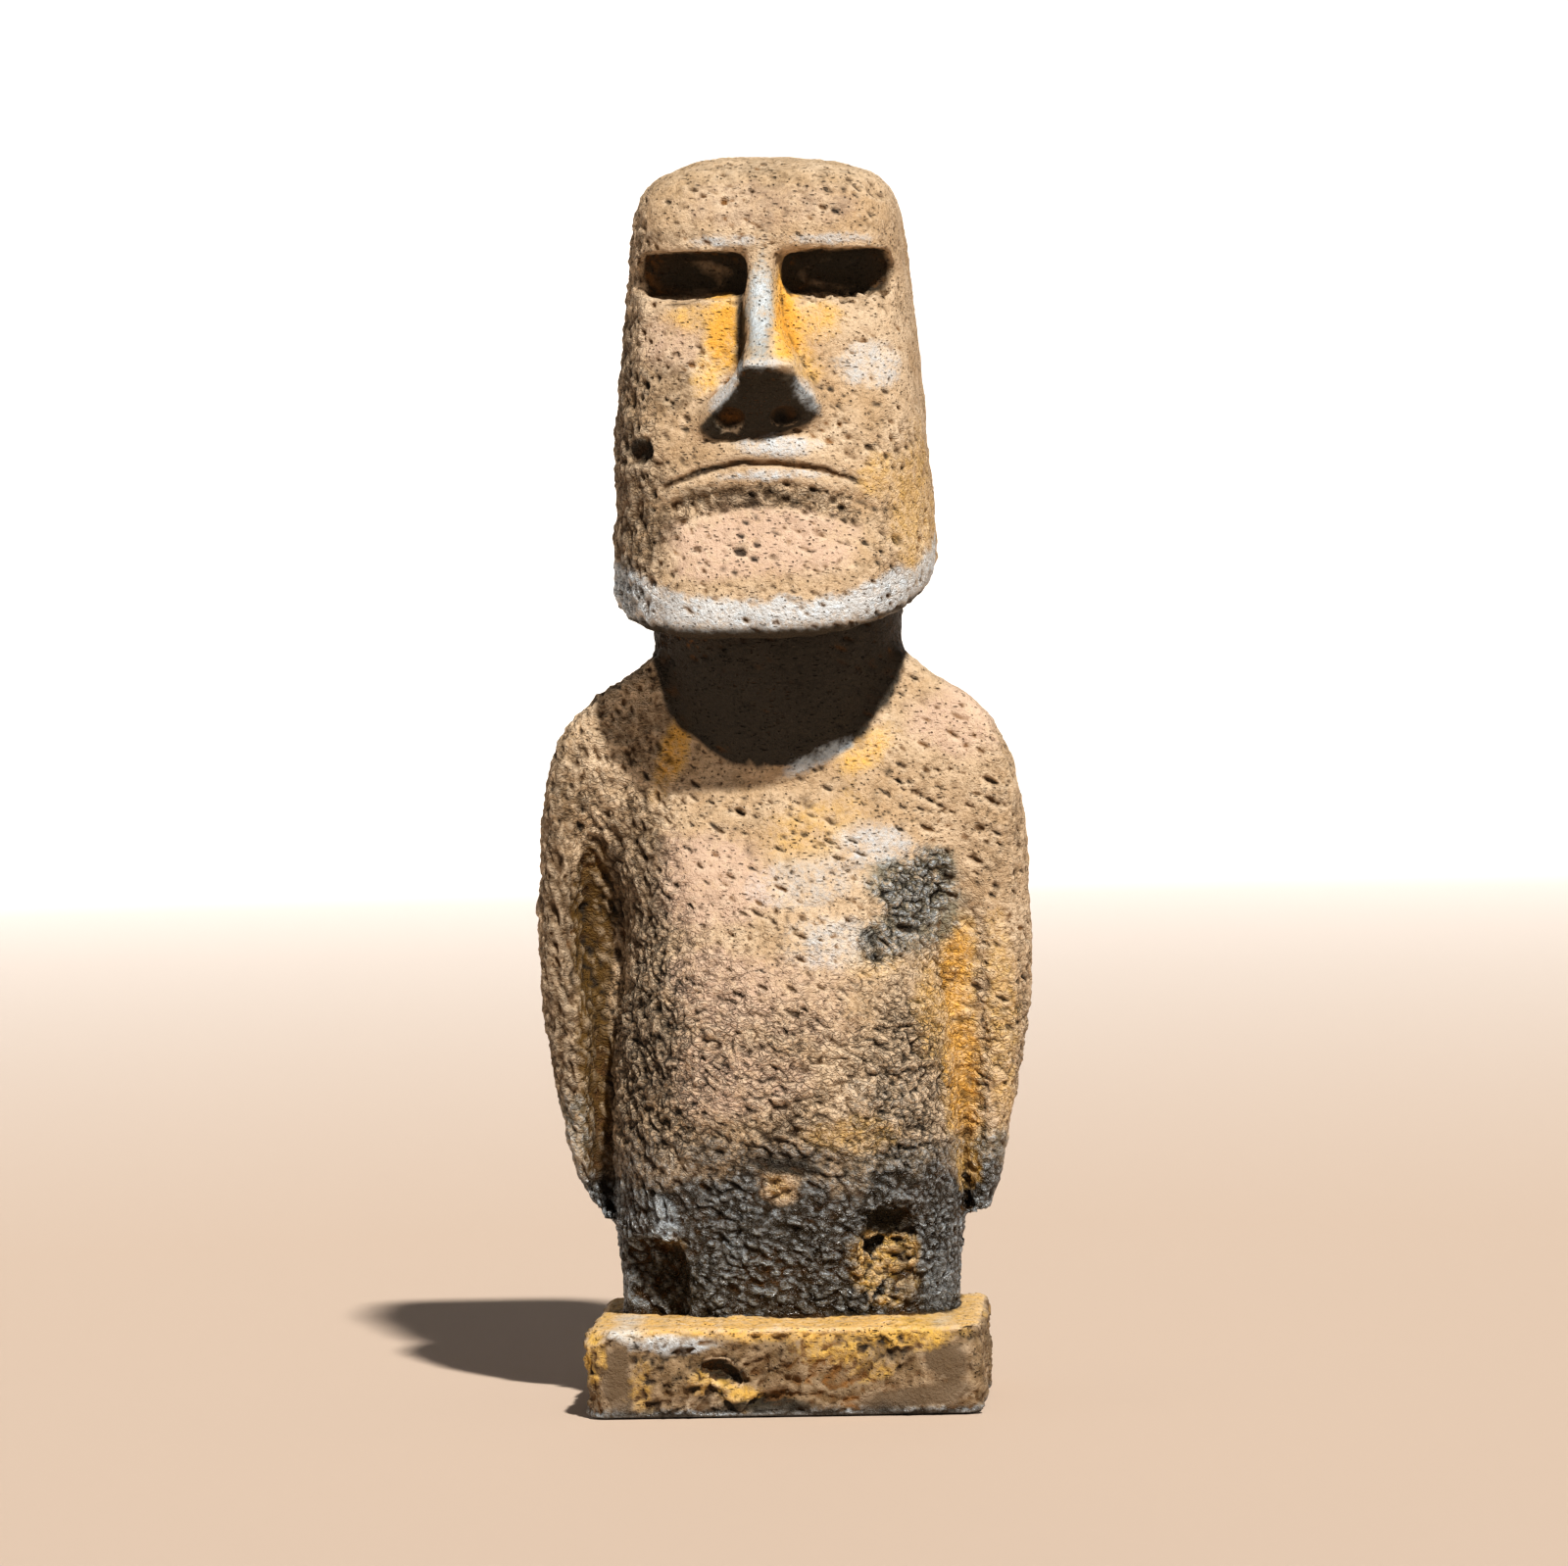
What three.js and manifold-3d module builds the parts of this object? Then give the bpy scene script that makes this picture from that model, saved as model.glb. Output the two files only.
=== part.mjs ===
// A moai figure standing on a low plinth, cast in one piece of stone.
// Millimetres, +Z up. The figure looks along -Y. The origin is the centre of the plinth's underside.
import * as THREE from "three";
import { mergeVertices } from "three/addons/utils/BufferGeometryUtils.js";
import Module from "manifold-3d";

// Driving sizes, in millimetres.
const figureHeight = 148.8;
const plinthHeight = 11.2;
const plinthCornerRadius = 2.6;
const plinthEdgeRadius = 0.9;
const ledgeFront = 12.2;
const ledgeBack = 4;
const ledgeSide = 3.3;
const footRoot = 2.2;
const frontCavity = { across: -7.4, height: 5.6, halfLength: 3.3, halfHeight: 1.7, depth: 2 };
const bottomBreak = { across: -0.8, height: 2.6, halfLength: 3.8, halfHeight: 1.3, depth: 1.2 };
const leftCornerChip = 3.2;
const rightCornerChip = 2.3;
const backEdgeChip = { across: 4.5, halfLength: 4, depth: 2 };

// The figure is carved in hundredths of its own height, so its proportions keep as it grows.
// Each table pairs a height above its root, which is set in the plinth, with a measure from its upright axis.
const body = {
  halfWidth: [[-3, 14.4], [2, 14.4], [8.9, 15], [9.5, 15.1], [9.9, 17.2], [12, 18.1], [18, 19.4], [26, 20.8],
    [34, 21.3], [42, 20.9], [48, 20], [52, 18.1], [54, 16.1], [56, 12.7], [57.5, 10.9], [59.4, 9]],
  torsoHalfWidth: [[-3, 14.4], [2, 14.4], [9, 15], [16, 15.1], [24, 14.9], [30, 13.8], [35, 13.6], [39, 14.7],
    [44, 17.4], [49, 20.5]],
  front: [[-3, 8.4], [0, 8.7], [3, 9.6], [8, 10.8], [14, 11.8], [20, 12.2], [26, 11.9], [32, 10.9], [38, 9],
    [44, 6.7], [48, 5.5], [52, 4.7], [56, 3.9], [60, 3.2]],
  back: [[-3, 9], [10, 9.4], [22, 9.2], [32, 9], [42, 9.7], [50, 9.4], [56, 7.6], [59.4, 5.6]],
  leftArmWidth: [[9.5, 1.8], [13, 2], [20, 3.3], [26, 4.5], [34, 4], [44, 4.8]],
  rightArmWidth: [[9.5, 3.2], [13, 3.6], [20, 4.9], [26, 5.7], [34, 6], [44, 6.6]],
  armFront: [[9.5, 0], [9.8, 2.4], [14, 3], [30, 3.8], [38, 4.4], [44, 4.9], [50, 4.6], [56, 3.4]],
  leftGrooveDepth: [[9.5, 1.6], [20, 2.6], [34, 3], [39, 2.2], [46, 0]],
  rightGrooveDepth: [[9.5, 1.6], [15, 1.3], [22, 0.7], [34, 0.5], [40, 0.4], [46, 0]],
  squareness: [[-3, 3.3], [10, 2.9], [24, 2.4], [60, 2.4]],
};
const neck = {
  halfWidth: [[42, 5.2], [47, 6.6], [50, 7.9], [54, 9.6], [58, 10.6], [66, 11]],
  front: [[42, 4.8], [47, 6], [52, 6.8], [58, 7.4], [66, 8]],
  back: [[42, 7], [54, 8.6], [66, 7]],
};
const head = {
  halfWidth: [[58.6, 12.5], [58.9, 13.3], [59.5, 13.6], [61, 13.65], [66, 13.6], [72, 13.35], [80, 12.85],
    [88, 12.1], [94, 11.45], [96.4, 10.9], [97.6, 10.1], [98.6, 8.7], [99.4, 6.4], [100, 2.5]],
  front: [[58.6, 13.4], [58.85, 15.4], [59.4, 16.5], [60.5, 16.9], [62.5, 16.9], [66, 16.2], [69, 15.1],
    [71, 14.9], [76, 14.5], [82, 13.5], [88.6, 12.4], [91, 12.1], [91.7, 13.7], [92.8, 14], [95.2, 13.8],
    [97, 13.1], [98.2, 12], [99.3, 9.6], [100, 4]],
  back: [[58.6, 7], [60.5, 8], [72, 7.8], [92, 7.5], [96, 7.1], [98, 6], [99.3, 3.9], [100, 1.5]],
};
const leftStumpRounding = 0.28;
const squareness = { head: [[58, 3], [66, 3.4], [76, 4.4]], neck: 2.3, arm: 2.4, back: 2.7 };
const jaw = { leftBow: 1.7, leftPower: 7, rightBow: 2.5, rightPower: 2.6, riseToNape: 0.2, reach: 9 };
const brow = { height: 91.7, arch: 1.4, reach: 2.6 };

// Features of the face, in the same hundredths.
const faceShift = 0.15;
const noseTip = { height: 81.8, front: 20, halfWidth: 2.2, shift: 0.5 };
const noseBridge = { rise: 0.5, front: 13.9, halfWidth: 1, rootDepth: 2.5, shift: -0.15 };
const noseWings = { height: 76.5, front: 15.4, halfWidth: 5.5, shift: -0.5, tilt: 0.12 };
const noseSides = { flat: 0.3, round: 0.8, flare: 0.8 };
const eyes = { spacing: 6.4, drop: 2.1, front: 13.2, turn: 0.13 };
const eyeSocket = { radii: [4.9, 4.2, 2.1], power: 5, lean: 0.08, segments: 16 };
const nostrils = { spacing: 2.3, front: 16.1, height: 77.6, radii: [1.4, 1.5, 1.1] };
const mouth = { height: 73.7, halfWidth: 8.7, drop: 1.8, shift: -0.4 };
const upperLip = { rise: 1.2, thickness: 1.3, standsOut: 0.3 };
const lowerLip = { rise: -0.6, thickness: 0.65, standsOut: 0.15 };

const wasm = await Module();
wasm.setup();

// Value at height h of a table of [height, value] pairs, joined by a smooth curve that never overshoots.
function valueAt(table, h) {
  const last = table.length - 1;
  if (h <= table[0][0]) return table[0][1];
  if (h >= table[last][0]) return table[last][1];
  const i = table.findIndex(([height]) => height > h) - 1;
  const slope = (k) => (table[k + 1][1] - table[k][1]) / (table[k + 1][0] - table[k][0]);
  const tangent = (k) => {
    if (k === 0 || k === last) return 0;
    const [before, after] = [slope(k - 1), slope(k)];
    return before * after <= 0 ? 0 : (2 * before * after) / (before + after);
  };
  const span = table[i + 1][0] - table[i][0];
  const t = (h - table[i][0]) / span;
  const ease = t * t * (3 - 2 * t);
  const bow = tangent(i) * t * (1 - t) ** 2 - tangent(i + 1) * t * t * (1 - t);
  return table[i][1] * (1 - ease) + table[i + 1][1] * ease + span * bow;
}

// The larger of two values, eased where they come within a reach of each other.
function easedMax(a, b, reach) {
  const near = Math.max(reach - Math.abs(a - b), 0) / reach;
  return Math.max(a, b) + (near * near * reach) / 4;
}

// Depth of a squared ellipse at an offset from its middle.
function ellipseDepth(offset, half, depth, power) {
  const share = Math.min(Math.abs(offset) / half, 1);
  return depth * (1 - share ** power) ** (1 / power);
}

// A closed skin over a stack of sections that all have the same number of points.
function skin(sections) {
  const around = sections[0].length;
  const middle = (ring) => ring.reduce((sum, p) => sum.add(p), new THREE.Vector3()).divideScalar(around);
  const points = [...sections.flat(), middle(sections[0]), middle(sections.at(-1))];
  const [bottom, top] = [points.length - 2, points.length - 1];
  const high = (sections.length - 1) * around;
  const triangles = [];
  for (let j = 0; j < around; j++) {
    const next = (j + 1) % around;
    triangles.push(bottom, next, j, top, high + j, high + next);
    for (let i = 0; i < sections.length - 1; i++) {
      const [a, b] = [i * around + j, i * around + next];
      const [c, d] = [b + around, a + around];
      const isRising = points[a].distanceTo(points[c]) <= points[b].distanceTo(points[d]);
      triangles.push(...(isRising ? [a, b, c, a, c, d] : [a, b, d, b, c, d]));
    }
  }
  const geometry = new THREE.BufferGeometry().setFromPoints(points);
  geometry.setIndex(triangles);
  return geometry;
}

// Geometry to a solid that can be joined and cut, and back.
function toSolid(geometry) {
  const bare = geometry.clone();
  bare.deleteAttribute("normal");
  bare.deleteAttribute("uv");
  const merged = mergeVertices(bare, 1e-4);
  return new wasm.Manifold(
    new wasm.Mesh({
      numProp: 3,
      vertProperties: Float32Array.from(merged.attributes.position.array),
      triVerts: Uint32Array.from(merged.index.array),
    }),
  );
}

function toGeometry(solid) {
  const mesh = solid.getMesh();
  const geometry = new THREE.BufferGeometry();
  geometry.setAttribute("position", new THREE.BufferAttribute(mesh.vertProperties, mesh.numProp));
  geometry.setIndex(new THREE.BufferAttribute(mesh.triVerts, 1));
  geometry.computeVertexNormals();
  return geometry;
}

// Heights that follow a form: every height its table names, and even steps between them.
function heightsOf(table, largestStep) {
  const marks = table.map(([h]) => h);
  return marks.flatMap((h, i) => {
    if (i === marks.length - 1) return [h];
    const steps = Math.ceil((marks[i + 1] - h) / largestStep);
    return Array.from({ length: steps }, (_, k) => h + ((marks[i + 1] - h) * k) / steps);
  });
}

// A section of a plain form: a squared ellipse with a front and a back of their own depth.
function plainSection(form, power, h, pointsAround) {
  return Array.from({ length: pointsAround }, (_, i) => {
    const turn = (2 * Math.PI * i) / pointsAround;
    const [c, s] = [Math.cos(turn), Math.sin(turn)];
    const depth = valueAt(s < 0 ? form.front : form.back, h);
    return new THREE.Vector3(
      Math.sign(c) * Math.abs(c) ** (2 / power) * valueAt(form.halfWidth, h),
      Math.sign(s) * Math.abs(s) ** (2 / power) * depth,
      h,
    );
  });
}

// One side of the trunk's front, from the middle outwards: the torso, a groove, and the arm eased onto it.
function frontSide(h, side) {
  const at = (table) => valueAt(table, h);
  const half = at(body.halfWidth);
  const torsoHalf = Math.min(at(body.torsoHalfWidth), half);
  const torsoEdge = Math.min(torsoHalf, half * 0.9);
  const armWidth = at(side < 0 ? body.leftArmWidth : body.rightArmWidth);
  const grooveDepth = at(side < 0 ? body.leftGrooveDepth : body.rightGrooveDepth);
  const armEdge = Math.max(half - armWidth, torsoEdge + 0.3);
  const arm = (half - armEdge) / 2;
  const depthAt = (x) => {
    const torsoPart = ellipseDepth(x, torsoHalf, at(body.front), at(body.squareness));
    const armPart = ellipseDepth(x - half + arm, arm, at(body.armFront), squareness.arm);
    const floor = x < half - arm ? Math.max(at(body.armFront) - grooveDepth, 0) : 0;
    return easedMax(torsoPart, Math.max(armPart, floor), 0.9 * Math.min(1, (half - x) / arm));
  };
  const across = [
    ...[0.26, 0.5, 0.7, 0.85, 0.94, 0.99].map((share) => share * torsoEdge),
    ...[0, 0.4, 0.8].map((share) => THREE.MathUtils.lerp(torsoEdge, armEdge, share)),
    ...[0, 0.12, 0.42, 0.78, 0.96].map((share) => THREE.MathUtils.lerp(armEdge, half, share)),
  ];
  const stump = side < 0 && h > 9.6 ? Math.max(0, 13 - h) / 3 : 0;
  const lift = (x) => leftStumpRounding * stump * Math.max(0, x - 15) ** 2;
  const edge = new THREE.Vector3(side * half, 0, h + lift(half));
  return [...across.map((x) => new THREE.Vector3(side * x, -depthAt(x), h + lift(x))), edge];
}

// A whole section of the trunk, with a plain back.
function bodySection(h) {
  const half = valueAt(body.halfWidth, h);
  const backDepth = valueAt(body.back, h);
  const backPoints = 12;
  const back = Array.from({ length: backPoints - 1 }, (_, i) => {
    const c = Math.cos((Math.PI * (i + 1)) / backPoints);
    const x = half * Math.sign(c) * Math.abs(c) ** (2 / squareness.back);
    return new THREE.Vector3(x, ellipseDepth(x, half, backDepth, squareness.back), h);
  });
  const middle = new THREE.Vector3(0, -valueAt(body.front, h), h);
  return [...frontSide(h, -1).reverse(), middle, ...frontSide(h, 1), ...back];
}

// The head: the jaw bows up to its corners and the nape, and the brow arches down at its ends.
function makeHead() {
  const jawLevel = 61;
  const jawHalf = valueAt(head.halfWidth, jawLevel);
  const jawFront = valueAt(head.front, jawLevel);
  const browHalf = valueAt(head.halfWidth, brow.height);
  return toSolid(
    skin(
      heightsOf(head.front, 2.6).map((h) =>
        plainSection(head, valueAt(squareness.head, h), h, 44).map((p) => {
          const nearJaw = THREE.MathUtils.clamp((jawLevel + jaw.reach - h) / jaw.reach, 0, 1);
          const nearBrow = Math.max(0, 1 - Math.abs(h - brow.height) / brow.reach);
          const [bow, power] = p.x < 0 ? [jaw.leftBow, jaw.leftPower] : [jaw.rightBow, jaw.rightPower];
          p.z += nearJaw * (bow * Math.abs(p.x / jawHalf) ** power + jaw.riseToNape * (p.y + jawFront));
          p.z -= p.y < 0 ? nearBrow * brow.arch * Math.abs(p.x / browHalf) ** 3 : 0;
          return p;
        }),
      ),
    ),
  );
}

// A rounded block: a squared ellipsoid at [across, in front, height], for lumps and for hollows.
function pillow({ place, radii, power = 2, lean = 0, roll = 0, turn = 0, segments = 12 }) {
  const geometry = new THREE.SphereGeometry(1, segments, Math.round(segments * 0.75));
  const position = geometry.attributes.position;
  const square = (v) => Math.sign(v) * Math.abs(v) ** (2 / power);
  for (let i = 0; i < position.count; i++) {
    const p = new THREE.Vector3().fromBufferAttribute(position, i);
    const length = (Math.abs(p.x) ** power + Math.abs(p.y) ** power + Math.abs(p.z) ** power) ** (1 / power);
    p.divideScalar(length || 1);
    position.setXYZ(i, p.x, p.y, p.z);
  }
  const [x, front, h] = place;
  geometry.applyMatrix4(
    new THREE.Matrix4().compose(
      new THREE.Vector3(x, -front, h),
      new THREE.Quaternion().setFromEuler(new THREE.Euler(lean, roll, turn)),
      new THREE.Vector3(...radii),
    ),
  );
  return toSolid(geometry);
}

// The nose: a narrow bridge that swells to the tip, with an underside that slopes back to the wings.
function makeNose() {
  const { height: low, front: wingFront, halfWidth: wingHalf } = noseWings;
  const { height: tip, front: tipFront, halfWidth: tipHalf } = noseTip;
  const { front: browFront, halfWidth: bridgeHalf } = noseBridge;
  const high = brow.height + noseBridge.rise;
  const half = [[low - 1, wingHalf - 1.6], [low, wingHalf], [low + 1.3, wingHalf - 0.2], [tip - 2.5, 4.2],
    [tip - 1.2, 2.9], [tip, tipHalf], [tip + 0.2 * (high - tip), bridgeHalf + 0.3],
    [(tip + high) / 2, bridgeHalf], [high, bridgeHalf]];
  const front = [[low - 1, wingFront - 1.6], [low, wingFront], [(low + tip) / 2, (wingFront + tipFront) / 2],
    [tip - 0.3, tipFront - 0.4], [tip, tipFront], [tip + 0.1 * (high - tip), tipFront - 1],
    [(tip + high) / 2, (tipFront + 2 * browFront) / 3 - 0.4], [high, browFront]];
  const middle = [[low, noseWings.shift], [tip, noseTip.shift], [(tip + high) / 2, noseBridge.shift]];
  const pointsAcross = 16;
  return toSolid(
    skin(
      heightsOf(half, 0.8).map((h) => {
        const face = valueAt(head.front, Math.min(h, brow.height - brow.reach)) - noseBridge.rootDepth;
        const rise = valueAt(front, h) - face;
        const roundness = THREE.MathUtils.smoothstep(tip - h, 0, tip - low);
        const sideways = THREE.MathUtils.lerp(noseSides.flat, noseSides.round, roundness);
        return Array.from({ length: pointsAcross + 1 }, (_, i) => {
          const turn = Math.PI * (1 + i / pointsAcross);
          const [c, s] = [Math.cos(turn), Math.abs(Math.sin(turn)) ** (0.6 * sideways + 0.1)];
          const x = Math.abs(c) ** sideways * valueAt(half, h) + noseSides.flare * (1 - s * s);
          const across = Math.sign(c) * x;
          return new THREE.Vector3(
            across + valueAt(middle, h),
            -face - rise * s,
            h + noseWings.tilt * roundness * across,
          );
        });
      }),
    ),
  );
}

// A lip: a roll laid along the mouth's down-turned arc, on the face's own curve, tapering to its ends.
function makeLip({ rise, thickness, standsOut }) {
  const steps = 16;
  const around = 10;
  const sections = Array.from({ length: steps + 1 }, (_, i) => {
    const across = -1 + (2 * i) / steps;
    const taper = Math.sqrt(Math.max(1 - across ** 2, 0)) * 0.92 + 0.08;
    const x = across * mouth.halfWidth;
    const h = mouth.height + rise * taper - mouth.drop * across ** 2;
    const [faceHalf, faceFront] = [valueAt(head.halfWidth, h), valueAt(head.front, h)];
    const surface = ellipseDepth(x, faceHalf, faceFront, valueAt(squareness.head, h));
    return Array.from({ length: around }, (_, k) => {
      const turn = (2 * Math.PI * k) / around;
      const y = -surface - standsOut * taper + thickness * taper * (1 + Math.cos(turn));
      return new THREE.Vector3(x, y, h + thickness * taper * Math.sin(turn));
    });
  });
  return toSolid(skin(sections)).translate([mouth.shift, 0, 0]);
}

const bodyHeights = heightsOf(body.halfWidth, 2.5);
const hollows = [
  { place: [-9.6, 14.3, 74], radii: [1.3, 1.1, 0.8] },
  { place: [9.2, 10.8, 6.7], radii: [3, 2.7, 4.2], power: 2.8 },
  { place: [-12.9, 9.6, 3.2], radii: [4.7, 4.1, 5.4], power: 5, segments: 16 },
  { place: [-0.6, 12.3, 11.3], radii: [2.4, 1.2, 2.3], power: 2.4, roll: 0.5 },
  { place: [10.2, 9.2, 33.2], radii: [2.6, 1.2, 0.8], power: 2.4 },
];
for (const side of [-1, 1]) {
  const nostril = [noseWings.shift + side * nostrils.spacing, nostrils.front, nostrils.height];
  hollows.push({ place: nostril, radii: nostrils.radii });
  const eye = [faceShift + side * eyes.spacing, eyes.front, brow.height - eyes.drop];
  hollows.push({ place: eye, turn: side * eyes.turn, ...eyeSocket });
}

let figure = toSolid(skin(bodyHeights.map(bodySection)))
  .add(toSolid(skin(heightsOf(neck.halfWidth, 4).map((h) => plainSection(neck, squareness.neck, h, 32)))))
  .add(makeHead())
  .add(makeNose())
  .add(makeLip(upperLip))
  .add(makeLip(lowerLip));
for (const hollow of hollows) figure = figure.subtract(pillow(hollow));

// The plinth is laid out around the foot by its ledges.
const unit = figureHeight / 100;
const footLevel = footRoot / unit;
const foot = {
  halfWidth: valueAt(body.halfWidth, footLevel) * unit,
  front: valueAt(body.front, footLevel) * unit,
  back: valueAt(body.back, footLevel) * unit,
};
const plinthWidth = 2 * (foot.halfWidth + ledgeSide);
const plinthDepth = ledgeFront + foot.front + foot.back + ledgeBack;
const figureAxisY = -plinthDepth / 2 + ledgeFront + foot.front;

function makePlinth() {
  const [halfWidth, halfDepth] = [plinthWidth / 2 - plinthEdgeRadius, plinthDepth / 2 - plinthEdgeRadius];
  const r = plinthCornerRadius - plinthEdgeRadius;
  const outline = new THREE.Shape();
  outline.absarc(halfWidth - r, halfDepth - r, r, 0, Math.PI / 2);
  outline.absarc(-halfWidth + r, halfDepth - r, r, Math.PI / 2, Math.PI);
  outline.absarc(-halfWidth + r, -halfDepth + r, r, Math.PI, 1.5 * Math.PI);
  outline.absarc(halfWidth - r, -halfDepth + r, r, 1.5 * Math.PI, 2 * Math.PI);
  const geometry = new THREE.ExtrudeGeometry(outline, {
    depth: plinthHeight - 2 * plinthEdgeRadius,
    curveSegments: 5,
    bevelThickness: plinthEdgeRadius,
    bevelSize: plinthEdgeRadius,
    bevelSegments: 3,
  });
  geometry.translate(0, 0, plinthEdgeRadius);
  return toSolid(geometry);
}

// Chips in the plinth, in millimetres from its middle and its underside.
function plinthHollow({ across, height, halfLength, halfHeight, depth }, roll) {
  return { place: [across, plinthDepth / 2, height], radii: [halfLength, depth, halfHeight], roll };
}
const [edgeX, edgeY] = [plinthWidth / 2, plinthDepth / 2];
const plinthChips = [
  plinthHollow(frontCavity, 0.4),
  plinthHollow(bottomBreak, -0.2),
  { place: [-edgeX, edgeY, plinthHeight], radii: [leftCornerChip, leftCornerChip, 0.7 * leftCornerChip] },
  { place: [edgeX, edgeY, plinthHeight], radii: [rightCornerChip, rightCornerChip, 1.2 * rightCornerChip] },
  { place: [edgeX - backEdgeChip.across, -edgeY, plinthHeight],
    radii: [backEdgeChip.halfLength, backEdgeChip.depth, backEdgeChip.depth] },
];

let plinth = makePlinth();
for (const chip of plinthChips) plinth = plinth.subtract(pillow(chip));
figure = figure.scale([unit, unit, unit]).translate([0, figureAxisY, plinthHeight - footRoot]);
const statue = plinth.add(figure);

const stone = new THREE.MeshStandardMaterial({ color: 0xb79a78, roughness: 0.85, metalness: 0 });
const mesh = new THREE.Mesh(toGeometry(statue), stone);
mesh.name = "moai_statue";

const group = new THREE.Group();
group.add(mesh);
export default group;
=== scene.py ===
"""Looks of a small cast souvenir figure on its plinth: one casting, pitted relief and rubbed patina, with
painted shade, painted highlights and painted glints.
"""

import logging
import math
from collections.abc import Callable
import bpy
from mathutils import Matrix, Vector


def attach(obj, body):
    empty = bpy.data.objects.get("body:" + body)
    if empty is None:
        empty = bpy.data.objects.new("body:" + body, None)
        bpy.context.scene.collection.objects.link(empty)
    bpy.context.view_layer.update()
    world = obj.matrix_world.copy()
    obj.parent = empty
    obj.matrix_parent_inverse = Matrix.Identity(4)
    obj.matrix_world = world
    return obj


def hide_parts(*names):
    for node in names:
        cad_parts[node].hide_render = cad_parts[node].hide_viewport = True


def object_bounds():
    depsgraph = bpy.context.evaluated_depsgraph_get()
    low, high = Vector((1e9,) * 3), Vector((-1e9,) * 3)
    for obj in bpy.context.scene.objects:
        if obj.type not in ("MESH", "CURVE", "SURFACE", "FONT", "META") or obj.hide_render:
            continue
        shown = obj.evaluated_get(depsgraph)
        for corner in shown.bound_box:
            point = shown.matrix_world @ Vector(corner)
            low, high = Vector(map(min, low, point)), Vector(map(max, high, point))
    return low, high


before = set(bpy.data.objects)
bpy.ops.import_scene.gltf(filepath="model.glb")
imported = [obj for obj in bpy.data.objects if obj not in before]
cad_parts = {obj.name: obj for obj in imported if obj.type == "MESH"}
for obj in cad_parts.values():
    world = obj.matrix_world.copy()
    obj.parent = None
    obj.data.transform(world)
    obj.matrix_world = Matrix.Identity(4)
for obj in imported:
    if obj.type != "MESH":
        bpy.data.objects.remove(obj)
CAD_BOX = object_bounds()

from concurrent.futures import ThreadPoolExecutor
from dataclasses import dataclass, field
from enum import Enum

import bpy
import numpy as np
from mathutils import Matrix, Vector

LOG = logging.getLogger("moai")
MM = 0.001
BLOCK = 12_000

# Places of the figure, in millimetres: heights over the ground, distances to the right and to the back.
LEDGE_TOP = 12.5
PLINTH_TOP = 11.1
VARNISH_LINE = 31.0
NECK_FOOT = 80.8
JAW_RIM = 97.5
RIM_SLOPE = 0.2
FACE_FRONT = -24.8
MOUTH_MIDDLE = -0.6
MOUTH_HALF = 12.0
MOUTH_DROOP = 2.5
MOUTH_SLIT = 118.9
UNDER_LIP = 114.9
MUZZLE = 120.6
EYE_HEIGHT = 142.4
EYE_SPACING = 9.6


class Coat(Enum):
    """Coats of colour on the casting, each one kept as an attribute of the mesh; some of them are painted
    shade and painted highlights.
    """

    PINK = "pink"
    # umber stain, which on the left side and under the lower lip also stands for painted shade
    UMBER_AND_SHADE = "umber_and_shade"
    OCHRE = "ochre"
    # painted shade: dark ochre down the left groove, which lies in shade
    PAINTED_SHADE_OCHRE = "deep"
    GOLD = "gold"
    CLAY = "clay"
    PEWTER = "pewter"
    # dark bronze paint of the neck, made darker as painted shade under the chin, and painted shade on the
    # head's underside
    BRONZE_AND_SHADE = "bronze_and_shade"
    VARNISH = "varnish"
    # painted shade: dark paint in the eye sockets, under the nose and in hollows
    PAINTED_SHADE = "painted_shade"
    # silver rub, which on lit edges also stands for painted highlights
    SILVER_AND_HIGHLIGHTS = "silver_and_highlights"
    # how far a vertex lies in a pit or hollow; the shader darkens it there as wash and painted shade
    HOLLOW = "hollow"
    # how far a vertex stands out; the shader lightens it there as painted highlight
    RAISED = "raised"
    GRITTY = "gritty"
    CREASED = "creased"


def ramp(value: np.ndarray, low: float | np.ndarray, high: float | np.ndarray) -> np.ndarray:
    """Rises smoothly from 0 at low to 1 at high.

    Args:
        value: The numbers to read.
        low: Where the rise starts; it may lie above high, which turns the rise round.
        high: Where the rise ends.

    Returns:
        Numbers from 0 to 1.
    """
    part = np.clip((value - low) / (high - low), 0, 1)
    return part * part * (3 - 2 * part)


def linear(rgb: tuple[int, int, int]) -> tuple[float, float, float, float]:
    """Turns a colour of 0 to 255 as seen on a screen into the shader's own numbers.

    Args:
        rgb: Red, green and blue.

    Returns:
        Linear red, green, blue and 1.
    """
    parts = [c / 255 for c in rgb]
    parts = [c / 12.92 if c <= 0.04045 else ((c + 0.055) / 1.055) ** 2.4 for c in parts]
    return (*parts, 1.0)


def in_blocks(work: Callable[..., np.ndarray], points: np.ndarray, *more: np.ndarray) -> np.ndarray:
    """Runs a function over short blocks of points side by side, which is many times faster.

    Args:
        work: What to run on a block of each array.
        points: The first array.
        more: Further arrays of the same length.

    Returns:
        The results in one array.
    """
    starts = range(0, len(points), BLOCK)
    with ThreadPoolExecutor(4) as pool:
        parts = pool.map(lambda a: work(points[a : a + BLOCK], *(m[a : a + BLOCK] for m in more)), starts)
    return np.concatenate(list(parts))


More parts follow.
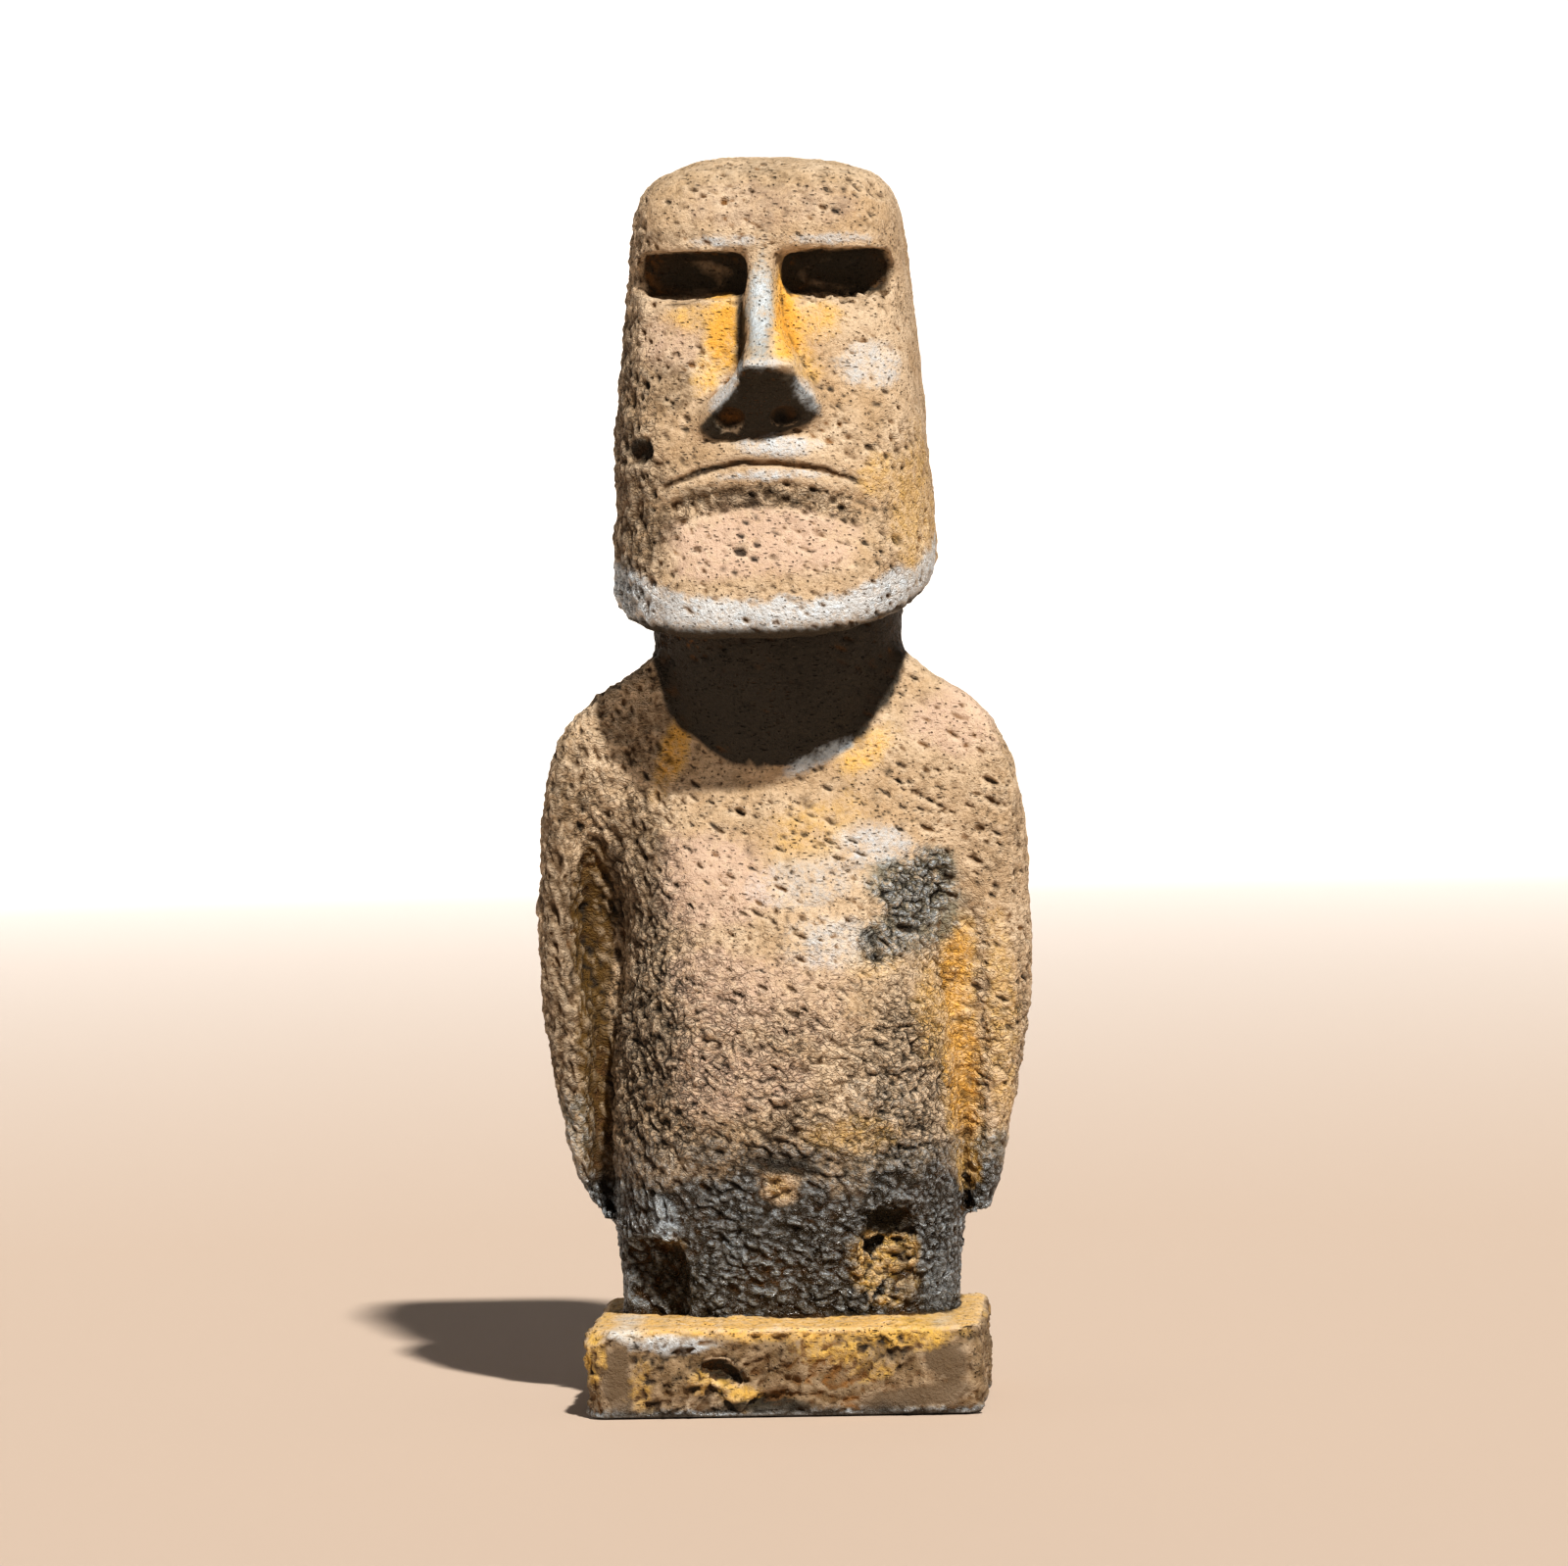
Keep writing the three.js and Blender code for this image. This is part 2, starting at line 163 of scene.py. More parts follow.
class Grain:
    """Seeded noise, cells and pits over points in millimetres."""

    def __init__(self, seed: int) -> None:
        """Draws the tables.

        Args:
            seed: Number that fixes every draw.
        """
        rng = np.random.default_rng(seed)
        self.order = rng.permutation(256)
        steps = rng.normal(size=(256, 3))
        self.steps = (steps / np.linalg.norm(steps, axis=1, keepdims=True)).astype(np.float32)
        self.draws = rng.random((256, 6)).astype(np.float32)

    def key(self, cell: np.ndarray, salt: int) -> np.ndarray:
        """Number from 0 to 255 that belongs to each cell.

        Args:
            cell: Whole coordinates of the cells.
            salt: Which of the independent patterns.

        Returns:
            One number per cell.
        """
        x, y, z = (cell + salt * 31).T & 255
        return self.order[(self.order[(self.order[x] + y) & 255] + z) & 255]

    def noise(self, points: np.ndarray, size: float, salt: int = 0) -> np.ndarray:
        """Smooth unevenness.

        Args:
            points: Places in millimetres.
            size: Width of a lump.
            salt: Which of the independent patterns.

        Returns:
            Numbers of about -1 to 1.
        """

        def work(block: np.ndarray) -> np.ndarray:
            """The noise of one block."""
            grid = (block / size + salt * 7.31).astype(np.float32)
            low = np.floor(grid)
            part = grid - low
            low = low.astype(np.int64)
            blend = part**3 * (part * (part * 6 - 15) + 10)
            total = np.zeros(len(block), np.float32)
            for corner in np.ndindex(2, 2, 2):
                step = self.steps[self.key(low + np.array(corner), salt)]
                weight = np.where(corner, blend, 1 - blend).prod(1)
                total += weight * ((part - np.array(corner, np.float32)) * step).sum(1)
            return total * 1.7

        return in_blocks(work, points)

    def layered(self, points: np.ndarray, size: float, layers: int, salt: int = 0) -> np.ndarray:
        """Noise with finer noise on it.

        Args:
            points: Places in millimetres.
            size: Width of the widest lump.
            layers: How many sizes, each half the one before.
            salt: Which of the independent patterns.

        Returns:
            Numbers of about -1 to 1.
        """
        total = np.zeros(len(points))
        for layer in range(layers):
            total += self.noise(points, size / 2**layer, salt + layer * 3) * 0.55**layer
        return total

    def chunks(self, points: np.ndarray, size: float, salt: int = 0) -> np.ndarray:
        """Broken pieces, each with its own height and tilt.

        Args:
            points: Places in millimetres.
            size: Width of a piece.
            salt: Which of the independent patterns.

        Returns:
            Numbers of about -1 to 1 that jump from piece to piece.
        """

        def work(block: np.ndarray) -> np.ndarray:
            """The pieces of one block."""
            cell = np.floor(block / size).astype(np.int64)
            nearest = np.full(len(block), 1e9)
            value = np.zeros(len(block))
            for shift in np.ndindex(3, 3, 3):
                there = cell + np.array(shift) - 1
                key = self.key(there, salt)
                gap = block - (there + self.draws[key, :3]) * size
                square = (gap**2).sum(1)
                tilt = (gap * self.steps[key]).sum(1) / size
                closer = square < nearest
                value = np.where(closer, self.draws[key, 3] * 2 - 1 + tilt, value)
                nearest = np.where(closer, square, nearest)
            return value * 0.6

        return in_blocks(work, points)

    def cracks(self, points: np.ndarray, size: float, salt: int = 0) -> np.ndarray:
        """How near each point is to the border between two broken pieces.

        Args:
            points: Places in millimetres.
            size: Width of a piece.
            salt: Which of the independent patterns.

        Returns:
            0 on a border and about 1 in the middle of a piece.
        """

        def work(block: np.ndarray) -> np.ndarray:
            """The borders of one block."""
            cell = np.floor(block / size).astype(np.int64)
            block = block.astype(np.float32)
            first = np.full(len(block), 1e9, np.float32)
            second = first.copy()
            for shift in np.ndindex(3, 3, 3):
                there = cell + np.array(shift) - 1
                heart = there.astype(np.float32) + self.draws[self.key(there, salt), :3]
                gap = block - heart * np.float32(size)
                square = (gap * gap).sum(1)
                second = np.minimum(second, np.maximum(first, square))
                first = np.minimum(first, square)
            return (np.sqrt(second) - np.sqrt(first)) / size

        return in_blocks(work, points)

    def pits(
        self,
        points: np.ndarray,
        spacing: float,
        radius: tuple[float, float],
        chance: float | np.ndarray,
        along: np.ndarray | None = None,
        stretch: float = 1.0,
        wall: float = 2.0,
        salt: int = 0,
    ) -> np.ndarray:
        """Scattered pits, each with its own size and depth.

        Args:
            points: Places in millimetres.
            spacing: Width of the cell that holds one pit.
            radius: Smallest and largest radius.
            chance: Share of the cells that hold a pit.
            along: Unit direction that a pit is drawn out along, one per point.
            stretch: How many times longer than wide a pit is.
            wall: How steep the wall is; 1 is a cone and more leaves a flat floor.
            salt: Which of the independent patterns.

        Returns:
            0 outside a pit, up to 1 on its floor.
        """

        def work(block: np.ndarray, odds: np.ndarray, way: np.ndarray) -> np.ndarray:
            """The pits of one block."""
            cell = np.floor(block / spacing).astype(np.int64)
            block = block.astype(np.float32)
            deepest = np.zeros(len(block), np.float32)
            for shift in np.ndindex(3, 3, 3):
                there = cell + np.array(shift) - 1
                draw = self.draws[self.key(there, salt)]
                gap = block - (there.astype(np.float32) + draw[:, :3]) * np.float32(spacing)
                square = (gap * gap).sum(1) - (1 - 1 / stretch**2) * (gap * way).sum(1) ** 2
                size = radius[0] + (radius[1] - radius[0]) * draw[:, 3] ** 2
                inside = np.clip((1 - np.sqrt(np.maximum(square, 0)) / size) * wall, 0, 1)
                deepest = np.maximum(deepest, inside * (0.55 + 0.45 * draw[:, 5]) * (draw[:, 4] < odds))
            return deepest

        odds = np.broadcast_to(np.asarray(chance, np.float32), len(points))
        way = np.zeros_like(points, np.float32) if along is None else along.astype(np.float32)
        return in_blocks(work, points, odds, way)


@dataclass(frozen=True)
class Spot:
    """A soft oval on the front, seen straight on, in millimetres."""

    x: float
    z: float
    wide: float
    high: float
    turn: float = 0.0
    amount: float = 1.0

    def weight(self, x: np.ndarray, z: np.ndarray, waver: np.ndarray) -> np.ndarray:
        """How much of the spot there is at each place.

        Args:
            x: Places to the right.
            z: Places up.
            waver: What is added to the distance, so that the rim isn't even.

        Returns:
            Numbers from 0 to the spot's amount.
        """
        cosine, sine = math.cos(math.radians(self.turn)), math.sin(math.radians(self.turn))
        right, up = x - self.x, z - self.z
        u = (right * cosine + up * sine) / self.wide
        v = (up * cosine - right * sine) / self.high
        return self.amount * ramp(np.hypot(u, v) + waver, 1.35, 0.55)


OCHRE_SPOTS = (
    Spot(-5.0, 135.2, 2.4, 5.2, 0, 1.1), Spot(-9.0, 137.2, 4.0, 1.6, 0, 0.6),
    Spot(-6.8, 130.6, 2.0, 3.2, -14, 0.7), Spot(3.0, 136.5, 1.7, 7.0, 0, 1.1),
    Spot(6.8, 136.8, 3.8, 2.6, 0, 0.6), Spot(5.0, 131.0, 1.8, 2.6, 30, 0.5),
    Spot(18.0, 113, 2.6, 10, 0, 0.45), Spot(14, 117, 3, 3, 0, 0.45), Spot(4.5, 72.5, 7, 4, 20, 0.36),
    Spot(11.0, 82.5, 4.4, 2.4, 35, 0.6), Spot(-13.2, 82.6, 1.7, 6.0, -22, 0.8),
    Spot(22.2, 53.4, 2.6, 8.0, 0, 0.9), Spot(22.6, 42, 2.6, 11, 0, 0.85), Spot(22.9, 31, 1.7, 4, 0, 0.75),
    Spot(8.9, 34.2, 6, 2.6, 0, 0.5), Spot(-0.6, 27.9, 2.0, 1.2, -35, 0.55),
    Spot(2.0, 23.5, 2.6, 0.6, -40, 0.6), Spot(0, 11.4, 30, 1.9, 0, 0.66), Spot(27.5, 48, 2.2, 14, 0, 0.5),
    Spot(12, 56, 4, 2, 0, 0.4), Spot(19, 50, 2.4, 7, 0, 0.6),
)
# Painted shade: dark ochre down the groove between the left arm and the body.
PAINTED_SHADE_OCHRE_SPOTS = (
    Spot(-24.2, 60, 2.3, 12, 0, 1.2), Spot(-24.4, 44, 2.1, 13, 0, 1.2), Spot(-24.2, 33, 1.6, 5, 0, 1.1),
)
GOLD_SPOTS = (
    Spot(12.4, 17.4, 4.2, 5.0), Spot(16, 9.7, 5.4, 1.9, 4, 1.0), Spot(6.3, 8.6, 4.5, 2.4, 6, 0.7),
    Spot(-4.9, 2.3, 2.4, 1.8, 0, 1.0), Spot(-9, 4.6, 3, 1.6, 0, 0.7), Spot(-23.4, 8, 1.3, 3.2, 0, 0.9),
    Spot(22.8, 28.6, 1.5, 2.6, 0, 0.9), Spot(-14, 20.4, 2.4, 1.2, 0, 0.6),
    Spot(-0.3, 129.3, 3.6, 0.7, 0, 0.6), Spot(-17.6, 4.5, 1.6, 3.6, 0, 0.4),
    Spot(11, 5.6, 4.0, 1.2, 10, 0.5),
)
# Silver rub; the spots on the edges of the lips, on the brow and on the nose's wings are also painted
# highlights on lit edges.
SILVER_AND_HIGHLIGHT_SPOTS = (
    Spot(13.0, 131, 3.6, 2.8, 0, 0.55), Spot(1.8, 120.9, 5.0, 1.3, 0, 0.8),
    Spot(0.6, 117.3, 6.5, 0.55, 0, 0.9), Spot(-5, 146.6, 5.5, 0.7, 0, 0.6),
    Spot(8.4, 146.6, 5.5, 0.7, 0, 0.6), Spot(12.4, 70.8, 6.0, 2.6, -10, 0.6),
    Spot(4.6, 81.4, 4.8, 1.0, 24, 1.1), Spot(6.8, 59, 5.5, 4, 0, 0.45),
    Spot(-15.2, 24.5, 1.6, 2.8, 20, 1.0), Spot(-13.3, 9.4, 6, 1.2, 0, 0.7),
    Spot(-20, 10.6, 2.6, 0.8, 0, 0.6), Spot(4, 66, 7, 4, 0, 0.35), Spot(19.5, 15, 2.0, 4.5, 0, 0.5),
    Spot(-4.9, 127.8, 1.1, 2.8, -35, 0.9), Spot(0, 130.9, 4.0, 0.6, 0, 0.6),
    Spot(5.6, 127, 1.1, 2.8, 35, 0.6), Spot(-0.2, 138.5, 1.5, 7.2, 0, 0.85),
)
PEWTER_SPOTS = (
    Spot(18.2, 63.4, 4.8, 6.4, -12, 1.1), Spot(14.4, 66.4, 4.0, 2.8, 20, 0.9),
    Spot(13.8, 59.4, 4.4, 3.0, 0, 0.8), Spot(-0.2, 138, 1.7, 8.4, 0, 0.8),
    Spot(9.5, 144.2, 5.0, 1.2, 0, 0.6), Spot(14, 30, 9, 3, 15, 0.5), Spot(-28, 34, 3, 6, 0, 0.5),
    Spot(-18, 103, 3, 4, 0, 0.6), Spot(26, 31, 3, 3, 0, 0.6), Spot(13, 39, 6, 4, 0, 0.2),
)
# Painted shade: dark spots in the eye sockets, nostrils, hollows and chips, and on the left flank of the
# nose bridge.
PAINTED_SHADE_SPOTS = (
    Spot(-9.6, 142.4, 6.0, 1.8, 0, 0.9), Spot(9.6, 142.8, 5.4, 1.6, 0, 0.9),
    Spot(12.8, 23.6, 3.2, 1.8, 0, 1.1), Spot(-14.6, 16.5, 3.4, 4.4, 0, 0.75),
    Spot(16.4, 60.0, 2.6, 0.8, -12, 0.6), Spot(12.8, 57.0, 0.9, 0.8, 0, 0.5), Spot(-4.1, 124.9, 1.9, 1.5),
    Spot(2.7, 124.9, 1.9, 1.5), Spot(0.5, 30.6, 5, 0.9, -8, 0.8), Spot(-7.8, 6.0, 3.0, 1.3, -20, 1.0),
    Spot(-2, 1.5, 6, 1.0, 0, 0.9), Spot(-15.6, 121, 1.6, 1.4, 0, 0.9),
    Spot(-2.8, 135.0, 0.7, 5.6, 0, 0.95), Spot(15, 16, 0.9, 5, 10, 0.5),
)
# Umber stain, and painted shade on the left side of the face and body, turned from the light, and in the
# band under the lower lip.
UMBER_AND_SHADE_SPOTS = (
    Spot(-18.6, 121, 3.0, 26, 0, 0.85), Spot(-16.0, 112, 4.2, 9, 0, 0.8),
    Spot(-1, 114.6, 11, 1.5, 0, 0.85), Spot(-18.8, 66, 4.0, 11, 0, 0.95),
    Spot(-28.6, 58, 3.0, 26, 0, 1.0), Spot(-17.5, 42, 4.6, 13, 0, 0.85), Spot(19.8, 38, 2.6, 9, 0, 0.25),
    Spot(-4, 34, 12, 3.0, 0, 0.7), Spot(-27, 78, 3.4, 7, 0, 0.6), Spot(-13, 129, 4.4, 4, 30, 0.6),
    Spot(0, 152.5, 15, 4.0, 0, 0.3), Spot(-16.5, 85, 5, 4, 0, 0.6), Spot(28, 70, 3, 8, 0, 0.3),
    Spot(0, 34, 17, 4, 0, 0.6), Spot(-12, 147.5, 6, 1, 0, 0.5),
)
PINK_SPOTS = (
    Spot(-1.5, 109.2, 11, 4.6), Spot(-9, 66, 8, 7), Spot(-6.8, 53, 8, 6, 0, 0.9),
    Spot(-7, 42, 10, 6, 0, 0.8), Spot(23, 86, 6, 4.5, 0, 0.9), Spot(-12, 134, 4.5, 4, 0, 0.6),
    Spot(1, 151, 12, 3, 0, 0.4), Spot(3, 51, 7, 6, 0, 0.5),
)
CLAY_SPOTS = (
    Spot(-20.6, 5.2, 2.1, 4.9, 0), Spot(20.2, 7.0, 3.4, 2.6, -10), Spot(16, 2.4, 8.0, 1.6, 8),
    Spot(-9, 2.2, 6, 0.8, 0, 0.5),
)
CALM_SPOTS = (
    Spot(-0.2, 137.6, 1.8, 8.5), Spot(-8, 136.8, 6.5, 2.6, 0, 0.85), Spot(7, 136.6, 5.5, 3.2, 0, 0.7),
    Spot(0, 88, 17, 9, 0, 0.8), Spot(-20.6, 5.2, 2.2, 5.1), Spot(20.2, 7.0, 3.6, 2.8, -10),
    Spot(16, 2.4, 8.0, 1.7, 8), Spot(-0.8, 125.6, 7, 3.6, 0, 1), Spot(0, 119.5, 9.5, 2.0, 0, 0.8),
    Spot(-24.2, 48, 2.2, 22, 0, 0.8), Spot(22.9, 47, 2.0, 16, 0, 0.5), Spot(20, 88, 7, 4, 0, 0.45),
    Spot(-9.6, 142.4, 7, 2.6), Spot(9.6, 142.8, 6.4, 2.2), Spot(-2, 24, 3, 3, 0, 0.4),
    Spot(-0.5, 117.0, 9, 0.9, 0, 0.7),
)
PITTED_SPOTS = (
    Spot(-12, 130.5, 5.5, 6), Spot(11, 130.5, 5, 3.5, 10, 0.8), Spot(0, 152, 16, 3, 0, 0.4),
)
RIB_SPOTS = (Spot(17, 64, 4.5, 6, -15), Spot(13, 58.5, 3.5, 3))
SILL_SPOTS = (Spot(9.5, 139.4, 6.5, 0.9, 4), Spot(-9.5, 138.9, 6, 0.6, 0, 0.5))
CRUMBLED_SPOTS = (Spot(13, 17, 4.2, 5.2), Spot(-7.4, 4.8, 4.6, 2.8, 0, 0.45))
CHIPPED_SPOTS = (Spot(-0.3, 26.3, 2.6, 3.4, -35), Spot(-0.3, 129.4, 4.2, 1.0, 0, 0.7))
BARE_SPOT = Spot(-0.4, 27.7, 2.6, 2.0, -35)
NOSE_SPOT = Spot(-0.6, 126, 9.5, 6)
# Single pits: place to the right, height, radius, depth, how far drawn out, and turn.
SINGLE_PITS = (
    (-3.3, 107.9, 0.55, 0.7, 1.3, -15), (-15.5, 120.5, 1.1, 1.0, 1.3, 30), (-4.8, 75.1, 0.5, 0.6, 1.5, -40),
    (16.4, 60, 0.8, 0.9, 2.6, -12), (12.8, 57.0, 0.9, 0.9, 1.2, 0), (-4.6, 151.6, 0.45, 0.6, 1.0, 0),
    (14.2, 152.6, 0.8, 0.7, 1.8, -45), (9.3, 123.5, 0.35, 0.6, 1.6, -60), (-17, 127, 0.7, 0.7, 1.6, 70),
    (-16.4, 113.5, 0.7, 0.8, 2.2, 75), (-28.6, 69, 1.0, 0.8, 1.6, -70), (-29.2, 62, 0.9, 0.8, 1.8, -60),
)


@dataclass(frozen=True)
class Depths:
    """How deep or high each kind of relief is, in millimetres."""

    swell: float = 0.26
    lumps: float = 0.16
    fine: float = 0.12
    pebbles: float = 0.42
    pits: float = 0.34
    dashes: float = 0.7
    short_dashes: float = 0.55
    gouges: float = 0.3
    wrinkles: float = 0.72
    broken: float = 0.85
    crumbs: float = 1.25
    chips: float = 0.5
    muzzle: float = 0.55
    slit: float = 0.5


class Relief:
    """Shapes the surface of the casting: lumps, pits, gouges, wrinkles and broken places."""

    def __init__(self, points: np.ndarray, normals: np.ndarray, grain: Grain) -> None:
        """Keeps the surface and works out where its zones are.

        Args:
            points: Vertices in millimetres.
            normals: Their unit normals.
            grain: Source of noise.
        """
        self.points, self.normals, self.grain = points, normals, grain
        self.depths = Depths()
        self.x, self.y, self.z = points.T
        self.front = ramp(self.y, 7.0, 3.0)
        self.waver = 0.28 * grain.layered(points, 5.0, 3, 40)
        self.along = self.strokes()
        self.level = self.z - RIM_SLOPE * (self.y - FACE_FRONT)
        self.head = ramp(self.level, JAW_RIM - 1, JAW_RIM + 1)
        ledge = ramp(normals[:, 2], 0.6, 0.85) * ramp(self.z, LEDGE_TOP + 0.3, LEDGE_TOP - 0.3)
        self.plinth = np.maximum(ramp(self.z, PLINTH_TOP + 0.5, PLINTH_TOP - 0.5), ledge)
        self.calm = self.cover(CALM_SPOTS)
        upright = ramp(np.abs(normals[:, 2]), 0.75, 0.35)
        self.faces = self.plinth * upright * (1 - self.calm) * ramp(self.z, 0.0, 1.0)
        self.shard = self.shards()
        self.zones = self.find_zones()

    def cover(self, spots: tuple[Spot, ...]) -> np.ndarray:
        """Strength of a group of spots on the front.

        Args:
            spots: The group.

        Returns:
            Numbers from 0 to 1.
        """
        total = np.zeros(len(self.x))
        for spot in spots:
            total = np.maximum(total, spot.weight(self.x, self.z, self.waver))
        return total * self.front

    def strokes(self) -> np.ndarray:
        """Direction of the gouges: down to the right, and steeper towards the left side."""
        around = np.cross(np.array([0.0, 0.0, 1.0]), self.normals)
        size = np.linalg.norm(around, axis=1, keepdims=True)
        around = np.where(size > 0.05, around / np.maximum(size, 1e-6), np.array([1.0, 0.0, 0.0]))
        left = ramp(self.x, -6.0, -20.0) * self.front
        steep = np.radians(28 + 40 * left + 8 * self.grain.noise(self.points, 14, 44))
        down = np.cross(around, self.normals)
        down = np.where(down[:, 2:3] > 0, -down, down)
        return around * np.cos(steep)[:, None] + down * np.sin(steep)[:, None]

    def drawn_out(self, angle: float, stretch: float, places: np.ndarray | None = None) -> np.ndarray:
        """Points squeezed along one direction of the front, so that a pattern on them is drawn out there.

        Args:
            angle: Degrees below the horizontal, towards the right.
            stretch: How many times longer the pattern gets.
            places: The points; the surface's own if left out.

        Returns:
            The changed points.
        """
        turn = math.radians(angle)
        direction = np.array([math.cos(turn), 0.0, -math.sin(turn)])
        places = self.points if places is None else places
        return places - np.outer(places @ direction * (1 - 1 / stretch), direction)

    def wrinkles(self) -> np.ndarray:
        """Leathery folds: broken cracks between slanted flakes, and finer cracks on them."""
        grain, left = self.grain, ramp(self.x, -8.0, -16.0) * self.front
        swayed = self.points + 0.7 * np.stack([grain.noise(self.points, 2.2, 50 + k) for k in range(3)], 1)
        flat, steep = self.drawn_out(24, 2.3, swayed), self.drawn_out(62, 2.4, swayed)

        def folds(points: np.ndarray, salt: int) -> np.ndarray:
            """Cracks and flakes along one direction."""
            wide = ramp(grain.cracks(points, 1.55, salt), 0.34, 0.02)
            wide = wide * ramp(grain.noise(points, 2.7, salt + 1), -0.25, 0.25)
            slim = ramp(grain.cracks(points, 0.95, salt + 2), 0.4, 0.02)
            slim = slim * ramp(grain.noise(points, 1.9, salt + 3), -0.3, 0.2)
            flakes = grain.chunks(points, 1.55, salt)
            return np.maximum(wide, 0.7 * slim) - 0.4 * flakes - 0.3 * grain.noise(points, 0.8, salt + 4)

        return folds(flat, 52) * (1 - left) + folds(steep, 58) * left

    def find_zones(self) -> dict[str, np.ndarray]:
        """How strongly each kind of relief shows, from 0 to 1."""
        body = (1 - self.head) * (1 - self.plinth)
        low = ramp(self.z, 70.0, 42.0)
        sides = ramp(np.abs(self.x), 8.0, 18.0)
        left = ramp(self.x, -10.0, -15.0) * self.front
        patches = ramp(self.grain.layered(self.points, 14, 2, 60), -0.35, 0.45)
        wrinkle = (0.12 + low * (0.6 + 0.4 * sides) + 0.5 * left) * (0.55 + 0.45 * patches)
        wrinkle = body * np.clip(wrinkle, 0, 1)
        arms = body * ramp(np.abs(self.x), 24.5, 26.5)
        loin = ramp(self.z, 34, 30)
        wrinkle = (wrinkle * (1 - loin) + 0.55 * loin * body) * (1 - 0.5 * arms)
        wrinkle = np.maximum(wrinkle, self.cover(RIB_SPOTS))
        face_left = self.head * ramp(self.x, -12.5, -16.5)
        face_low = self.head * ramp(self.z, 134.0, 118.0)
        rough = 0.95 * face_left + 0.5 * face_low * ramp(np.abs(self.x), 9, 15) + 0.6 * left * body
        rough = np.clip(rough, 0, 1)
        rough = np.maximum(rough, arms * (0.6 * ramp(self.x, 0, -1) + 0.4 * ramp(self.x, 0, 1)))
        band = self.arc(UNDER_LIP, 1.7) * ramp(np.abs(self.x - MOUTH_MIDDLE), 14, 10)
        return {"wrinkle": wrinkle, "rough": np.maximum(rough, band), "body": body, "band": band}

    def arc(self, height: float, half: float) -> np.ndarray:
        """A band on the face that droops at its ends as the mouth does.

        Args:
            height: Its middle's height.
            half: Half its width.

        Returns:
            Numbers from 0 to 1.
        """
        level = height - MOUTH_DROOP * ((self.x - MOUTH_MIDDLE) / MOUTH_HALF) ** 2 + self.waver
        return ramp(np.abs(self.z - level) / half, 1.3, 0.6) * self.front * self.head

    def shards(self) -> np.ndarray:
        """Pattern of the rough broken faces, of about -1 to 1."""
        grain = self.grain
        slanted = self.drawn_out(-22, 1.9)
        shard = grain.chunks(slanted + 0.5 * grain.noise(self.points, 1.5, 63)[:, None], 2.3, 61)
        shard = 0.55 * shard + 0.35 * grain.chunks(slanted, 1.1, 62)
        shard += 0.3 * grain.layered(self.points, 2.6, 3, 64)
        return shard - 0.9 * grain.pits(self.points, 3.4, (0.5, 1.3), 0.5, None, 1.0, 1.8, 65)

    def broken(self) -> np.ndarray:
        """Rough faces of the plinth, crumbled hollows, the loin's chip and the nose's worn edge."""
        crumbs, chip = self.cover(CRUMBLED_SPOTS), self.cover(CHIPPED_SPOTS)
        depths = self.depths
        strength = depths.broken * self.faces + depths.crumbs * crumbs + depths.chips * chip
        return self.shard * strength - 0.1 * self.faces

    def holes(self) -> np.ndarray:
        """The larger pits that a look at the front picks out: how far each point goes in."""
        made = np.zeros(len(self.x))
        for x, z, radius, depth, stretch, turn in SINGLE_PITS:
            pit = Spot(x, z, radius * stretch, radius, turn)
            made += depth * pit.weight(self.x, self.z, self.waver) * self.front
        return made

    def face(self) -> np.ndarray:
        """Soft forms of the face: muzzle, slit, the band under the lip and the eyes' sills."""
        muzzle = self.arc(MUZZLE, 1.9) * ramp(np.abs(self.x), 10, 3)
        slit = self.arc(MOUTH_SLIT, 0.42) * ramp(np.abs(self.x - MOUTH_MIDDLE), 14, 11)
        made = self.depths.muzzle * (muzzle - self.zones["band"]) - self.depths.slit * slit
        sill = self.cover(SILL_SPOTS)
        return made + sill * (0.5 * self.grain.chunks(self.points, 1.3, 67) - 0.2)

    def height(self) -> np.ndarray:
        """How far each vertex moves out along its normal, in millimetres."""
        grain, points, depths = self.grain, self.points, self.depths
        rough, body, wrinkle = (self.zones[name] for name in ("rough", "body", "wrinkle"))
        open_skin = 1 - 0.9 * self.calm
        low = depths.swell * grain.layered(points, 12, 2, 1)
        low += depths.lumps * grain.noise(points, 4.2, 5) * open_skin
        fine = depths.fine * grain.layered(points, 1.2, 2, 8) * open_skin
        pebbles = depths.pebbles * grain.layered(self.drawn_out(60, 1.5), 1.5, 2, 12)
        made = low + fine + pebbles * rough
        cheek = self.cover(PITTED_SPOTS)
        chance = np.clip(0.5 + 0.4 * rough + 0.5 * cheek, 0, 1) * (1 - 0.85 * self.calm)
        holes = grain.pits(points, 1.35, (0.2, 0.55), chance, self.along, 1.5, 2.4, 21)
        made -= (depths.pits + 0.3 * cheek + 0.35 * rough) * holes * open_skin * (1 - 0.5 * wrinkle)
        dashes = depths.dashes * grain.pits(points, 2.1, (0.22, 0.46), 0.8, self.along, 3.2, 2.4, 24)
        more = depths.short_dashes * grain.pits(points, 1.7, (0.2, 0.4), 0.8, self.along, 3.0, 2.4, 27)
        made -= np.maximum(dashes, more) * (body + 0.35 * self.head) * open_skin * (1 - 0.6 * wrinkle)
        deep = grain.pits(points, 3.6, (0.5, 0.95), 0.4 + 0.45 * rough, self.along, 1.5, 1.8, 30)
        made -= (depths.gouges + 0.6 * rough) * deep * open_skin * (1 - self.plinth)
        made -= depths.wrinkles * self.wrinkles() * wrinkle * (1 - 0.7 * self.calm)
        made += self.broken() - self.holes() + self.face()
        plainer = 1 - 0.35 * ramp(self.y, 6.0, 12.0)
        return made * plainer * ramp(self.z, 0.1, 0.9)


